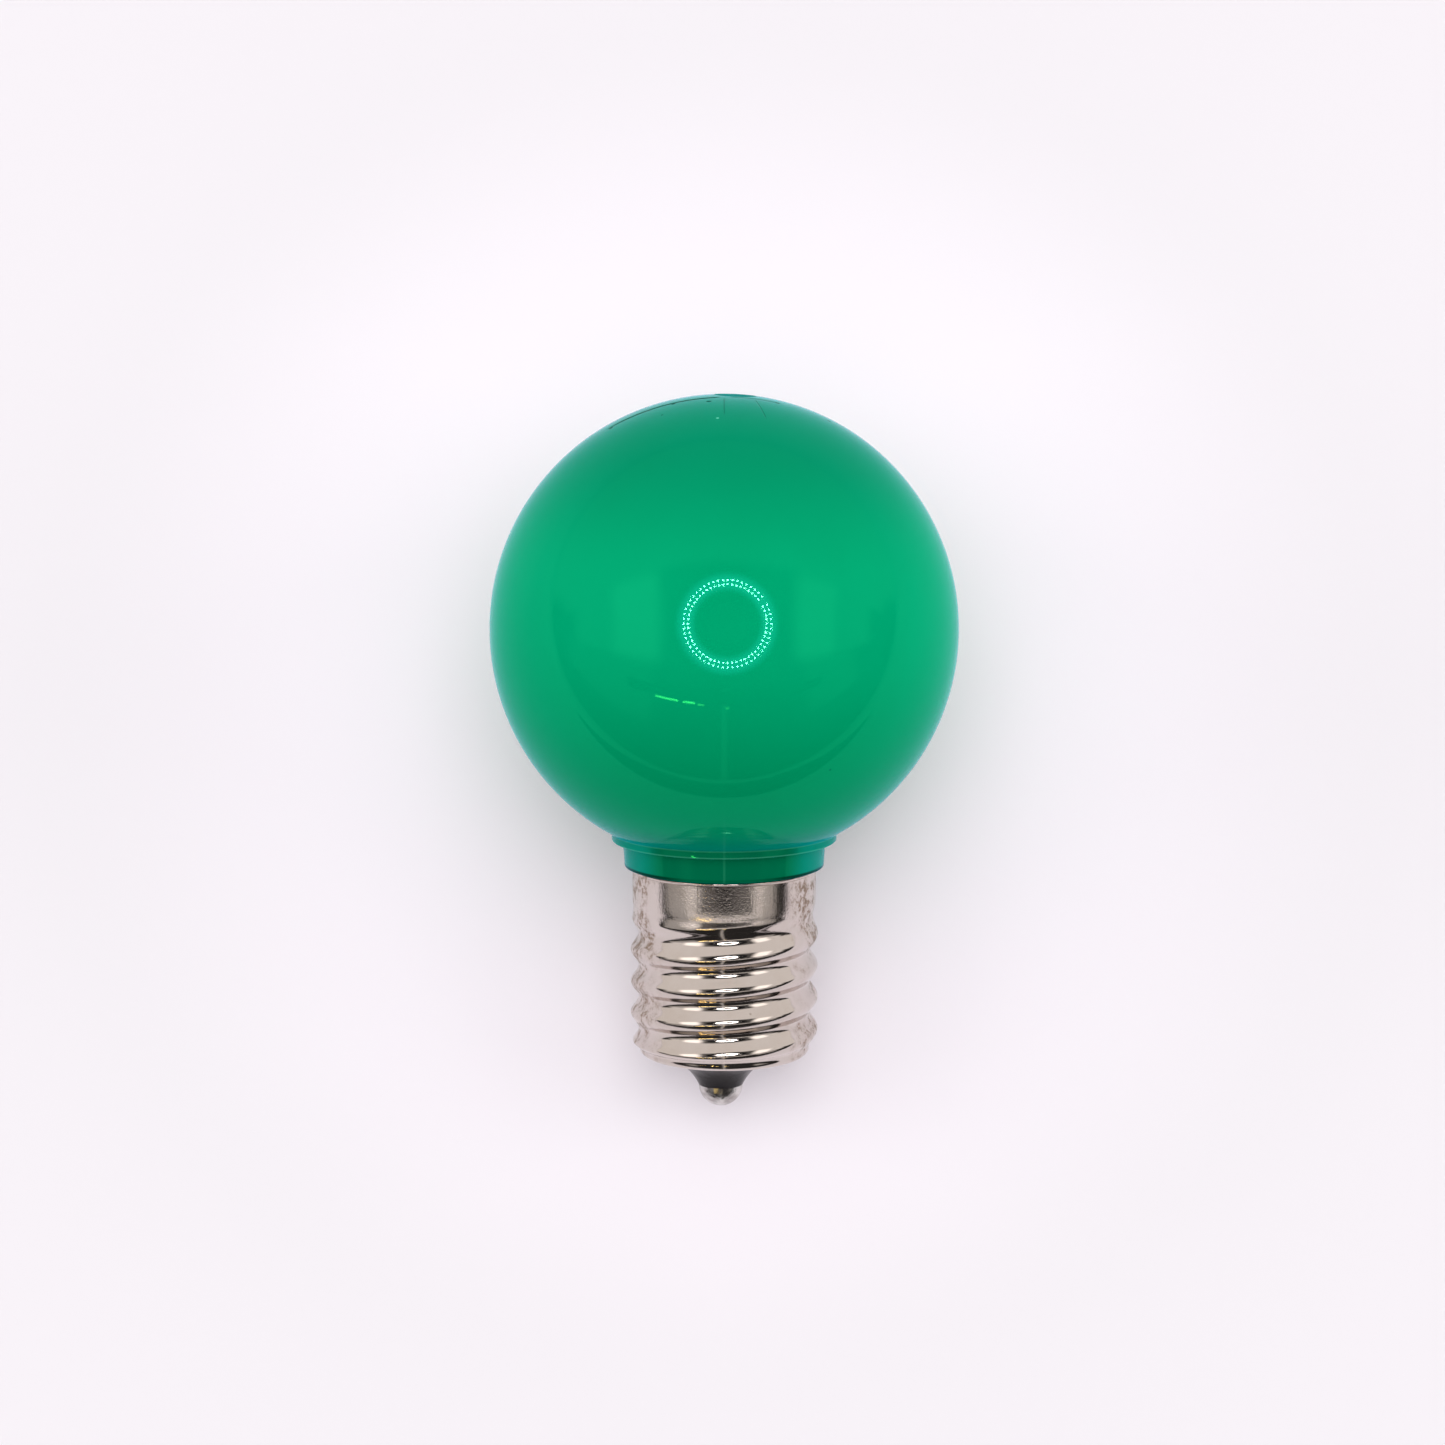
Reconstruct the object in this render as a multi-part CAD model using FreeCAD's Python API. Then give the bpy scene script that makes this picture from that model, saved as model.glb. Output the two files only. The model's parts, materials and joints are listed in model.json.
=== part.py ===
import FreeCAD, Part
import math
import os

# Round Christmas light bulb with a screw cap, lying on its side as it comes to rest.
#
# Four pieces make it: a moulded globe that narrows through a flange and a neck into a spigot, a thin
# pressed cap with a rolled screw thread, a glass insulator that closes the cap, and the domed centre
# contact. Each is drawn upright on the Z axis, with the tip of the contact at zero and the globe at the
# top, and all four are then laid down together. Sizes are in millimetres, angles in degrees.

# Globe, flange, neck and spigot, one moulding
globe_radius = 20.25
flange_radius = 9.80
flange_edge = 0.10
neck_top_radius = 8.84
neck_bottom_radius = 8.70
neck_length = 2.30
neck_edge = 0.15
spigot_length = 4.0
spigot_clearance = 0.04
spigot_lead = 0.4

# How far the flange's lower face lies below the centre of the globe
flange_drop = 18.38

# Flat left where the mould's gate was trimmed off, beside the top of the globe
gate_radius = 1.70
gate_offset = 0.95

# Cap, pressed from thin sheet
cap_wall = 0.25
skirt_radius = 8.04
skirt_length = 4.63
bead_radius = 8.22
bead_height = 0.44
bead_bevel = 0.12
cap_corner = 1.08
cap_end_radius = 8.00
cap_mouth_radius = 5.40

# Screw thread rolled into the cap, right-handed, 9 turns to the inch
thread_pitch = 25.4 / 9
thread_turns = 4
thread_crest_radius = 8.18
thread_root_radius = 7.46
thread_fade_top = 1.30
thread_fade_bottom = 1.30

# Ruled strips that make up one pitch of the thread's outer and inner face
outer_strips = 6
inner_strips = 3
points_per_half_turn = 12

# Insulator
insulator_depth = 2.2
insulator_clearance = 0.02
nose_length = 2.62
nose_base_radius = 4.90
nose_waist_radius = 2.80
nose_waist_length = 1.25
nose_radius = 1.95

# Centre contact, a little off the axis of the cap, with its nose
contact_offset = 0.30
contact_height = 1.94
contact_band = 0.40
contact_bevel = 0.05
shank_radius = 0.80
shank_length = 2.6
shank_clearance = 0.02

# Heights on the upright bulb, from the tip of the contact
cap_bottom = contact_height + nose_length
cap_floor = cap_bottom + cap_wall
thread_bottom = cap_bottom + cap_corner
thread_top = thread_bottom + thread_turns * thread_pitch
cap_top = thread_top + skirt_length
neck_top = cap_top + neck_length
globe_height = neck_top + flange_drop

# Radius at which the cap's flat end passes into its rounded corner
cap_flat_radius = cap_end_radius - cap_corner

# The contact's dome is a part of a sphere that touches zero height
dome_edge_radius = nose_radius - contact_bevel
dome_edge_height = contact_height - contact_band
dome_radius = (dome_edge_radius ** 2 + dome_edge_height ** 2) / (2 * dome_edge_height)
dome_edge_turn = math.degrees(math.atan2(dome_edge_height - dome_radius, dome_edge_radius))

# Side of the upright bulb that faces the floor when it lies down, as an angle about the axis
floor_turn = math.pi / 2

# Widest gap that is closed between two faces of the cap
sewing_gap = 0.00001

AXIS = FreeCAD.Vector(0, 0, 1)
ORIGIN = FreeCAD.Vector(0, 0, 0)
contact_shift = FreeCAD.Vector(-contact_offset, 0, 0)


def point(radius, height):
    return FreeCAD.Vector(radius, 0, height)


def line(start, end):
    return Part.LineSegment(point(*start), point(*end)).toShape()


def corner(centre, radius, first, last):
    """Arc about centre, from the angle first to the angle last, in the plane of a profile."""
    ends = []
    for angle in (first, (first + last) / 2, last):
        turn = math.radians(angle)
        ends.append(point(centre[0] + radius * math.cos(turn), centre[1] + radius * math.sin(turn)))
    return Part.Arc(*ends).toShape()


def revolved(edges):
    """Solid of revolution of a closed profile."""
    return Part.Face(Part.Wire(edges)).revolve(ORIGIN, AXIS, 360)


def globe_shape():
    """Globe, flange, neck and spigot in one closed moulding, with the flat at the gate."""
    crease_turn = math.degrees(math.acos(flange_radius / globe_radius))
    crease_height = globe_height - math.sqrt(globe_radius ** 2 - flange_radius ** 2)
    spigot_radius = skirt_radius - cap_wall - spigot_clearance
    spigot_end = cap_top - spigot_length
    body = revolved([
        corner((0, globe_height), globe_radius, 90, -crease_turn),
        line((flange_radius, crease_height), (flange_radius, neck_top + flange_edge)),
        line((flange_radius, neck_top + flange_edge), (flange_radius - flange_edge, neck_top)),
        line((flange_radius - flange_edge, neck_top), (neck_top_radius, neck_top)),
        line((neck_top_radius, neck_top), (neck_bottom_radius, cap_top + neck_edge)),
        line((neck_bottom_radius, cap_top + neck_edge), (neck_bottom_radius - neck_edge, cap_top)),
        line((neck_bottom_radius - neck_edge, cap_top), (spigot_radius, cap_top)),
        line((spigot_radius, cap_top), (spigot_radius, spigot_end + spigot_lead)),
        line((spigot_radius, spigot_end + spigot_lead), (spigot_radius - spigot_lead, spigot_end)),
        line((spigot_radius - spigot_lead, spigot_end), (0, spigot_end)),
        line((0, spigot_end), (0, globe_height + globe_radius)),
    ])
    gate_turn = math.asin(gate_offset / globe_radius)
    gate_axis = FreeCAD.Vector(math.sin(gate_turn), 0, math.cos(gate_turn))
    gate_centre = point(0, globe_height) + gate_axis * math.sqrt(globe_radius ** 2 - gate_radius ** 2)
    return body.cut(Part.makeCylinder(2 * gate_radius, gate_radius, gate_centre, gate_axis))


def smooth_step(value):
    """Zero below 0, one above 1, and a smooth rise between."""
    share = min(max(value, 0.0), 1.0)
    return share * share * (3 - 2 * share)


def thread_radius(height, turn):
    """Outer radius of the rolled thread at a height and an angle in radians, plain at both ends."""
    middle = (thread_crest_radius + thread_root_radius) / 2
    depth = (thread_crest_radius - thread_root_radius) / 2
    climb = 2 * math.pi * (height - thread_bottom) / thread_pitch
    wave = middle - depth * math.cos(climb - turn)
    top_share = smooth_step((thread_top - height) / thread_fade_top)
    bottom_share = smooth_step((height - thread_bottom) / thread_fade_bottom)
    rolled = skirt_radius + (wave - skirt_radius) * top_share
    return cap_end_radius + (rolled - cap_end_radius) * bottom_share


def thread_heights(turn, strips):
    """Heights, at one angle within a turn, of the lines that bound the strips of the thread.

    They fan out from one point of the bottom rim, climb as helices, and close on one point of the top
    rim.
    """
    share = turn / (2 * math.pi)
    strip = thread_pitch / strips
    first_helix = thread_bottom + share * thread_pitch
    last_helix = first_helix + (thread_turns - 1) * thread_pitch
    heights = [thread_bottom + i * strip * share for i in range(strips)]
    heights += [first_helix + i * strip for i in range((thread_turns - 1) * strips)]
    heights += [last_helix + i * strip * (1 - share) for i in range(strips + 1)]
    return heights


def thread_faces(inset, strips):
    """Ruled strips of the thread, in two halves of a turn, at a depth below the outer radius."""
    faces = []
    for half in (0, 1):
        turns = [math.pi * (half + i / points_per_half_turn) for i in range(points_per_half_turn + 1)]
        columns = []
        for turn in turns:
            column = []
            for height in thread_heights(turn, strips):
                radius = thread_radius(height, turn) - inset
                column.append(FreeCAD.Vector(radius * math.cos(turn), radius * math.sin(turn), height))
            columns.append(column)
        rows = list(zip(*columns))
        edges = []
        for row in rows:
            if row is rows[0] or row is rows[-1]:
                edges.append(Part.Arc(row[0], row[points_per_half_turn // 2], row[-1]).toShape())
            else:
                curve = Part.BSplineCurve()
                curve.interpolate(list(row))
                edges.append(curve.toShape())
        faces += [Part.makeRuledSurface(low, high) for low, high in zip(edges, edges[1:])]
    return faces


def rings(edges):
    """Surfaces of revolution of an open profile, in the same two halves as the thread."""
    half = Part.Wire(edges).revolve(ORIGIN, AXIS, 180)
    other = half.copy()
    other.rotate(ORIGIN, AXIS, 180)
    return half.Faces + other.Faces


def screw_shell_shape():
    """Cap pressed from one sheet: rim bead, skirt, rolled thread and turned-in end."""
    inner_radius = skirt_radius - cap_wall
    bead_start = cap_top - bead_height
    skirt = rings([
        line((skirt_radius, thread_top), (skirt_radius, bead_start)),
        line((skirt_radius, bead_start), (bead_radius, bead_start + bead_bevel)),
        line((bead_radius, bead_start + bead_bevel), (bead_radius, cap_top - bead_bevel)),
        line((bead_radius, cap_top - bead_bevel), (skirt_radius, cap_top)),
        line((skirt_radius, cap_top), (inner_radius, cap_top)),
        line((inner_radius, cap_top), (inner_radius, thread_top)),
    ])
    end = rings([
        corner((cap_flat_radius, thread_bottom), cap_corner, 0, -90),
        line((cap_flat_radius, cap_bottom), (cap_mouth_radius, cap_bottom)),
        line((cap_mouth_radius, cap_bottom), (cap_mouth_radius, cap_floor)),
        line((cap_mouth_radius, cap_floor), (cap_flat_radius, cap_floor)),
        line((cap_flat_radius, cap_floor), (cap_end_radius - cap_wall, thread_bottom)),
    ])
    thread = thread_faces(0, outer_strips) + thread_faces(cap_wall, inner_strips)
    skin = Part.makeCompound(skirt + end + thread)
    skin.sewShape(sewing_gap)
    return Part.Solid(skin.Shells[0])


def insulator_shape():
    """Glass button: a plug seated in the cap, and a nose that narrows in a hollow curve."""
    plug_radius = min(cap_flat_radius, thread_root_radius - cap_wall) - insulator_clearance
    mouth_radius = cap_mouth_radius - insulator_clearance
    plug_top = cap_floor + insulator_depth
    waist_height = contact_height + nose_waist_length
    plug = revolved([
        line((0, cap_bottom), (mouth_radius, cap_bottom)),
        line((mouth_radius, cap_bottom), (mouth_radius, cap_floor)),
        line((mouth_radius, cap_floor), (plug_radius, cap_floor)),
        line((plug_radius, cap_floor), (plug_radius, plug_top)),
        line((plug_radius, plug_top), (0, plug_top)),
        line((0, plug_top), (0, cap_bottom)),
    ])
    flare = Part.Arc(point(nose_base_radius, cap_bottom), point(nose_waist_radius, waist_height),
                     point(nose_radius, contact_height))
    nose = revolved([
        flare.toShape(),
        line((nose_radius, contact_height), (0, contact_height)),
        line((0, contact_height), (0, cap_bottom)),
        line((0, cap_bottom), (nose_base_radius, cap_bottom)),
    ])
    nose.translate(contact_shift)
    hole = Part.makeCylinder(shank_radius + shank_clearance, plug_top, contact_shift, AXIS)
    return plug.fuse(nose).cut(hole)


def contact_shape():
    """Domed contact, with the shank that holds it in the insulator."""
    shank_top = contact_height + shank_length
    contact = revolved([
        corner((0, dome_radius), dome_radius, -90, dome_edge_turn),
        line((dome_edge_radius, dome_edge_height), (nose_radius, contact_height)),
        line((nose_radius, contact_height), (shank_radius, contact_height)),
        line((shank_radius, contact_height), (shank_radius, shank_top)),
        line((shank_radius, shank_top), (0, shank_top)),
        line((0, shank_top), (0, 0)),
    ])
    contact.translate(contact_shift)
    return contact


def rest_tilt():
    """Slope of the axis, down from the globe, at which the cap meets the floor that the globe lies on.

    Each line of the thread on the floor's side, and the rounded corner of the end, gives a slope. The
    lowest is the one at which the bulb comes to rest.
    """
    rounds = [(thread_bottom, cap_flat_radius, cap_corner)]
    for height in thread_heights(floor_turn, outer_strips):
        rounds.append((height, thread_radius(height, floor_turn), 0))
    tilts = []
    for height, out, swell in rounds:
        along = globe_height - height
        tilts.append(math.asin((globe_radius - swell) / math.hypot(along, out)) - math.atan2(out, along))
    return min(tilts)


def lay_down(shape):
    """Turn a piece from upright to its rest on the floor, centred under the whole bulb."""
    tilt = rest_tilt()
    shape.rotate(ORIGIN, FreeCAD.Vector(1, 0, 0), math.degrees(tilt) - 90)
    far_end = globe_height * math.cos(tilt) + globe_radius
    near_end = dome_radius * math.cos(tilt) - dome_radius
    drop = globe_radius - globe_height * math.sin(tilt)
    shape.translate(FreeCAD.Vector(0, -(far_end + near_end) / 2, drop))


NODES = {
    "globe": globe_shape,
    "screw_shell": screw_shell_shape,
    "insulator": insulator_shape,
    "centre_contact": contact_shape,
}

os.makedirs("parts", exist_ok=True)
for name, make_shape in NODES.items():
    piece = make_shape()
    lay_down(piece)
    piece.exportStep("parts/" + name + ".step")
    print(name, piece.isValid(), len(piece.Solids), len(piece.Faces), round(piece.Volume, 2))
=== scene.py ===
"""Looks of a round coloured light bulb that lies on a pale floor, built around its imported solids."""

import json
import logging
import math
from dataclasses import dataclass
from enum import Enum

import bpy
from mathutils import Matrix, Vector


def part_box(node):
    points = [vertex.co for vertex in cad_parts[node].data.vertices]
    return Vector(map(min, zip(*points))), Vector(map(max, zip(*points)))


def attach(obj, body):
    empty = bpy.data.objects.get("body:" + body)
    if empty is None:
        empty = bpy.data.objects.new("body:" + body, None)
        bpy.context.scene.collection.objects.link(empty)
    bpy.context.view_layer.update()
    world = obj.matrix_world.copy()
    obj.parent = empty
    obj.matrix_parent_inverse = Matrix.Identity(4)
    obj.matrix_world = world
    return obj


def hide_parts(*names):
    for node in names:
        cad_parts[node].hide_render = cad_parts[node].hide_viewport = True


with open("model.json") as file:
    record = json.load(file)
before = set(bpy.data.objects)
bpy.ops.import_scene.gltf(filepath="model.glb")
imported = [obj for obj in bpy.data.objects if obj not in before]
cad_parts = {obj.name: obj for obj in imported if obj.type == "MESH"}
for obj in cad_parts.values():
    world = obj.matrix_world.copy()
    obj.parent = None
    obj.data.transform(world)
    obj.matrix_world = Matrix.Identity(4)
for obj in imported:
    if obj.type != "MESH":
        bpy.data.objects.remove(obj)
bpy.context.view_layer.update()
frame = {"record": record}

LOG = logging.getLogger("light_bulb")
MM = 0.001
INCH = 25.4 * MM
ORIGIN = (0.0, 0.0, 0.0)
ACROSS = Vector((1.0, 0.0, 0.0))


class Slot(Enum):
    """Material slots of the record."""

    PLASTIC = "green_plastic"
    NICKEL = "nickel_plate"
    GLASS = "black_glass"
    TIN = "bright_tin"


def rgb(red: float, green: float, blue: float) -> tuple[float, float, float, float]:
    """Gives a colour full alpha.

    Args:
        red: its red part.
        green: its green part.
        blue: its blue part.

    Returns:
        The colour.
    """
    return (red, green, blue, 1.0)


@dataclass(frozen=True)
class BulbDatum:
    """Where the bulb lies: the frame of a bulb that stands upright on the tip of its contact.

    The solids and the mounts of the record give the frame, so nothing in it is fitted by hand. The other
    sizes are those that more than one piece or finish needs.
    """

    tip: Vector
    direction: Vector
    globe_radius: float
    flange_drop: float = 18.38 * MM
    neck_length: float = 2.30 * MM
    gate_radius: float = 1.70 * MM
    gate_offset: float = 0.95 * MM
    contact_height: float = 1.94 * MM
    contact_radius: float = 1.95 * MM
    contact_offset: float = 0.30 * MM

    @classmethod
    def from_record(cls, record: dict) -> "BulbDatum":
        """Reads the datum from the record's mounts and the globe's box.

        Args:
            record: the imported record.

        Returns:
            The datum of the bulb as it lies.
        """
        mounts = {mount["name"]: mount for mount in record["mounts"]}
        direction = -Vector(mounts["screw_thread"]["axis"]).normalized()
        on_axis = Vector(mounts["screw_thread"]["pos_m"])
        contact = Vector(mounts["centre_contact"]["pos_m"])
        tip = on_axis + direction * (contact - on_axis).dot(direction)
        low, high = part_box("globe")
        return cls(tip=tip, direction=direction, globe_radius=(high.x - low.x) / 2)

    @property
    def turn(self) -> float:
        """Angle about X that lays an upright bulb down."""
        return math.atan2(self.direction.z, self.direction.y) - math.pi / 2

    @property
    def matrix(self) -> Matrix:
        """Matrix that takes an upright bulb to where it lies."""
        return Matrix.Translation(self.tip) @ Matrix.Rotation(self.turn, 4, "X")

    @property
    def globe_centre(self) -> Vector:
        """Centre of the globe, which rests on the floor."""
        _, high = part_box("globe")
        return Vector((0.0, high.y - self.globe_radius, self.globe_radius))

    @property
    def globe_height(self) -> float:
        """Height of the globe's centre over the tip, along the bulb's axis."""
        return (self.globe_centre - self.tip).dot(self.direction)

    @property
    def flange_foot(self) -> float:
        """Height of the flange's foot over the tip."""
        return self.globe_height - self.flange_drop

    @property
    def neck_foot(self) -> float:
        """Height of the neck's foot over the tip."""
        return self.flange_foot - self.neck_length


@dataclass(frozen=True)
class Signal:
    """A number that changes over a surface, as the output of a shader node."""

    sheet: "NodeSheet"
    socket: bpy.types.NodeSocket

    def _math(self, operation: str, first: "Signal | float", second: "Signal | float") -> "Signal":
        """Adds one Math node.

        Args:
            operation: the node's operation.
            first: its first value.
            second: its second value.

        Returns:
            The node's result.
        """
        node = self.sheet.node("ShaderNodeMath", {"operation": operation}, {0: first, 1: second})
        return Signal(self.sheet, node.outputs[0])

    def __add__(self, other: "Signal | float") -> "Signal":
        """Sum."""
        return self._math("ADD", self, other)

    def __radd__(self, other: float) -> "Signal":
        """Sum, with the number first."""
        return self._math("ADD", other, self)

    def __sub__(self, other: "Signal | float") -> "Signal":
        """Difference."""
        return self._math("SUBTRACT", self, other)

    def __rsub__(self, other: float) -> "Signal":
        """Difference, with the number first."""
        return self._math("SUBTRACT", other, self)

    def __mul__(self, other: "Signal | float") -> "Signal":
        """Product."""
        return self._math("MULTIPLY", self, other)

    def __rmul__(self, other: float) -> "Signal":
        """Product, with the number first."""
        return self._math("MULTIPLY", other, self)

    def size(self) -> "Signal":
        """Absolute value."""
        return self._math("ABSOLUTE", self, 0.0)

    def arc_sine(self) -> "Signal":
        """Angle in degrees whose sine this is."""
        return self._math("ARCSINE", self, 0.0) * math.degrees(1.0)

    def angle_from(self, other: "Signal") -> "Signal":
        """Angle in degrees whose tangent is this over the other.

        Args:
            other: the adjacent side.

        Returns:
            The angle.
        """
        return self._math("ARCTAN2", self, other) * math.degrees(1.0)

    def ramp(self, low: float, high: float) -> "Signal":
        """Smooth rise from 0 at low to 1 at high, or a fall where low is the larger.

        Args:
            low: value at which the result is 0.
            high: value at which the result is 1.

        Returns:
            The smoothed result.
        """
        settings = {"interpolation_type": "SMOOTHSTEP", "clamp": True}
        inputs = {"Value": self, "From Min": low, "From Max": high}
        return Signal(self.sheet, self.sheet.node("ShaderNodeMapRange", settings, inputs).outputs["Result"])

    def line(self, half_width: float, core: float) -> "Signal":
        """Thin line where this is 0.

        Args:
            half_width: distance at which the line ends.
            core: distance up to which it is full.

        Returns:
            The line.
        """
        return self.size().ramp(half_width, core)

    def within(self, low: float, high: float, soft: float) -> "Signal":
        """1 between low and high, 0 outside, with soft edges.

        Args:
            low: where the band begins.
            high: where it ends.
            soft: width of each edge, centred on it.

        Returns:
            The band.
        """
        half = soft / 2
        return self.ramp(low - half, low + half) * self.ramp(high + half, high - half)


@dataclass(frozen=True)
class Noise:
    """Cloudy pattern: how fine it is, how many finer layers it has, and how strong these are."""

    scale: float
    detail: float = 2.0
    rough: float = 0.5


@dataclass(frozen=True)
class Spot:
    """Small round spot on the upright bulb: its place from the tip and its radius, in millimetres."""

    x: float
    y: float
    z: float
    radius: float


@dataclass(frozen=True)
class Place:
    """Place on the upright bulb, in metres from its tip: whole, and its parts right, away and up."""

    whole: bpy.types.NodeSocket
    side: Signal
    depth: Signal
    height: Signal


class NodeSheet:
    """Node tree of one material or of the world, with the few calls that its finish needs."""

    FIRST_COLOUR = 6
    SECOND_COLOUR = 7
    MIXED_COLOUR = 2
    SPOT_CORE = 0.5

    def __init__(self, tree: bpy.types.NodeTree) -> None:
        """Empties the tree.

        Args:
            tree: the tree to draw in.
        """
        self.tree = tree
        tree.nodes.clear()

    @classmethod
    def of_material(cls, name: str) -> "tuple[bpy.types.Material, NodeSheet]":
        """Makes a material with an empty sheet.

        Args:
            name: the material's name.

        Returns:
            The material and its sheet.
        """
        material = bpy.data.materials.new(name)
        material.use_nodes = True
        return material, cls(material.node_tree)

    def node(self, kind: str, settings: dict | None = None, inputs: dict | None = None) -> bpy.types.Node:
        """Adds a node.

        Args:
            kind: the node's type.
            settings: its properties, set first.
            inputs: values or links, by the name or place of a socket.

        Returns:
            The new node.
        """
        node = self.tree.nodes.new(kind)
        for name, value in (settings or {}).items():
            setattr(node, name, value)
        for name, value in (inputs or {}).items():
            self.feed(node.inputs[name], value)
        return node

    def feed(self, socket: bpy.types.NodeSocket, value: object) -> None:
        """Links a socket to a signal or another socket, or sets its value.

        Args:
            socket: the input to feed.
            value: what feeds it.
        """
        if isinstance(value, Signal):
            value = value.socket
        if isinstance(value, bpy.types.NodeSocket):
            self.tree.links.new(value, socket)
        else:
            socket.default_value = value

    def show(self, shader: bpy.types.NodeSocket, output: str = "ShaderNodeOutputMaterial") -> None:
        """Links a shader to the tree's output.

        Args:
            shader: the shader.
            output: the output node's type.
        """
        self.feed(self.node(output).inputs["Surface"], shader)

    def place(self) -> bpy.types.NodeSocket:
        """Place on the object, in metres."""
        return self.node("ShaderNodeTexCoord").outputs["Object"]

    def upright(self, datum: BulbDatum) -> bpy.types.NodeSocket:
        """Place on the bulb as if it stood upright.

        Args:
            datum: how the bulb lies.

        Returns:
            The place, in metres from the tip.
        """
        inputs = {"Vector": self.place(), "Location": tuple(datum.tip), "Rotation": (datum.turn, 0.0, 0.0)}
        return self.node("ShaderNodeMapping", {"vector_type": "TEXTURE"}, inputs).outputs["Vector"]

    def parts(self, datum: BulbDatum) -> Place:
        """Place on the bulb as if it stood upright, with its parts.

        Args:
            datum: how the bulb lies.

        Returns:
            The place.
        """
        whole = self.upright(datum)
        node = self.node("ShaderNodeSeparateXYZ", None, {"Vector": whole})
        return Place(whole, *(Signal(self, output) for output in node.outputs))

    def noise(self, vector: bpy.types.NodeSocket, noise: Noise, stretch: tuple | None = None) -> Signal:
        """Cloudy noise from 0 to 1.

        Args:
            vector: what it is laid on.
            noise: its pattern.
            stretch: scales of the vector's three parts.

        Returns:
            The noise.
        """
        if stretch is not None:
            vector = self.reckon("MULTIPLY", vector, stretch).outputs["Vector"]
        inputs = {"Vector": vector, "Scale": noise.scale, "Detail": noise.detail, "Roughness": noise.rough}
        return Signal(self, self.node("ShaderNodeTexNoise", None, inputs).outputs["Fac"])

    def blend(self, share: Signal | float, first: object, second: object) -> bpy.types.NodeSocket:
        """Mixes two colours.

        Args:
            share: how much of the second colour shows.
            first: a colour or a socket.
            second: a colour or a socket.

        Returns:
            The mixed colour.
        """
        inputs = {"Factor": share, self.FIRST_COLOUR: first, self.SECOND_COLOUR: second}
        return self.node("ShaderNodeMix", {"data_type": "RGBA"}, inputs).outputs[self.MIXED_COLOUR]

    def mix(self, share: object, first: object, second: object) -> bpy.types.NodeSocket:
        """Mixes two shaders.

        Args:
            share: how much of the second shader shows.
            first: a shader's socket.
            second: a shader's socket.

        Returns:
            The mixed shader.
        """
        return self.node("ShaderNodeMixShader", None, {0: share, 1: first, 2: second}).outputs[0]

    def light(self, kind: str, colour: object, level: float) -> bpy.types.NodeSocket:
        """Adds a shader that gives light.

        Args:
            kind: the node's type.
            colour: its colour or the socket that gives it.
            level: its strength.

        Returns:
            The shader.
        """
        return self.node(kind, None, {"Color": colour, "Strength": level}).outputs[0]

    def reckon(self, operation: str, vector: object, other: object) -> bpy.types.Node:
        """Adds a Vector Math node.

        Args:
            operation: the node's operation.
            vector: its first vector.
            other: its second vector.

        Returns:
            The node.
        """
        return self.node("ShaderNodeVectorMath", {"operation": operation}, {0: vector, 1: other})

    def scaled(self, colour: tuple, share: Signal) -> bpy.types.NodeSocket:
        """Scales a colour by a signal.

        Args:
            colour: the colour's three parts.
            share: how much of it is left.

        Returns:
            The scaled colour.
        """
        inputs = {0: colour, "Scale": share}
        return self.node("ShaderNodeVectorMath", {"operation": "SCALE"}, inputs).outputs["Vector"]

    def along(self, vector: bpy.types.NodeSocket, direction: Vector) -> Signal:
        """How far a vector reaches in a direction.

        Args:
            vector: the vector.
            direction: the direction, of length 1.

        Returns:
            The reach.
        """
        return Signal(self, self.reckon("DOT_PRODUCT", vector, tuple(direction)).outputs["Value"])

    def distance(self, vector: bpy.types.NodeSocket, place: tuple) -> Signal:
        """Distance from a place.

        Args:
            vector: the vector to measure from.
            place: the fixed place.

        Returns:
            The distance.
        """
        return Signal(self, self.reckon("DISTANCE", vector, tuple(place)).outputs["Value"])

    def spot(self, vector: bpy.types.NodeSocket, spot: Spot) -> Signal:
        """Small round spot: 1 at its place and 0 beyond its radius.

        Args:
            vector: place, in metres.
            spot: the spot.

        Returns:
            The spot's mask.
        """
        centre = tuple(value * MM for value in (spot.x, spot.y, spot.z))
        radius = spot.radius * MM
        return self.distance(vector, centre).ramp(radius, radius * self.SPOT_CORE)

    def spots(self, vector: bpy.types.NodeSocket, spots: tuple) -> Signal:
        """Several spots.

        Args:
            vector: place, in metres.
            spots: the spots.

        Returns:
            Their masks together.
        """
        return sum((self.spot(vector, spot) for spot in spots), 0.0)


@dataclass(frozen=True)
class Finish:
    """A surface finish: what every material of the bulb has in common."""

    name: str
    datum: BulbDatum

    def make(self) -> bpy.types.Material:
        """Builds the material.

        Returns:
            The finished material.
        """
        material, sheet = NodeSheet.of_material(self.name)
        sheet.show(self.dress(sheet, sheet.node("ShaderNodeBsdfPrincipled")))
        return material

    def dress(self, sheet: NodeSheet, shader: bpy.types.Node) -> bpy.types.NodeSocket:
        """Sets the shader's sockets; each finish has its own.

        Args:
            sheet: the material's nodes.
            shader: its main shader.

        Returns:
            What the surface shows.
        """
        raise NotImplementedError

    def bump(self, sheet: NodeSheet, shader: bpy.types.Node, height: Signal, depth: float) -> None:
        """Gives the surface a fine relief.

        Args:
            sheet: the material's nodes.
            shader: the shader whose normal is bent.
            height: relief from 0 to 1.
            depth: depth of the relief in metres.
        """
        node = sheet.node("ShaderNodeBump", None, {"Height": height, "Distance": depth, "Strength": 1.0})
        sheet.feed(shader.inputs["Normal"], node.outputs["Normal"])


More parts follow.
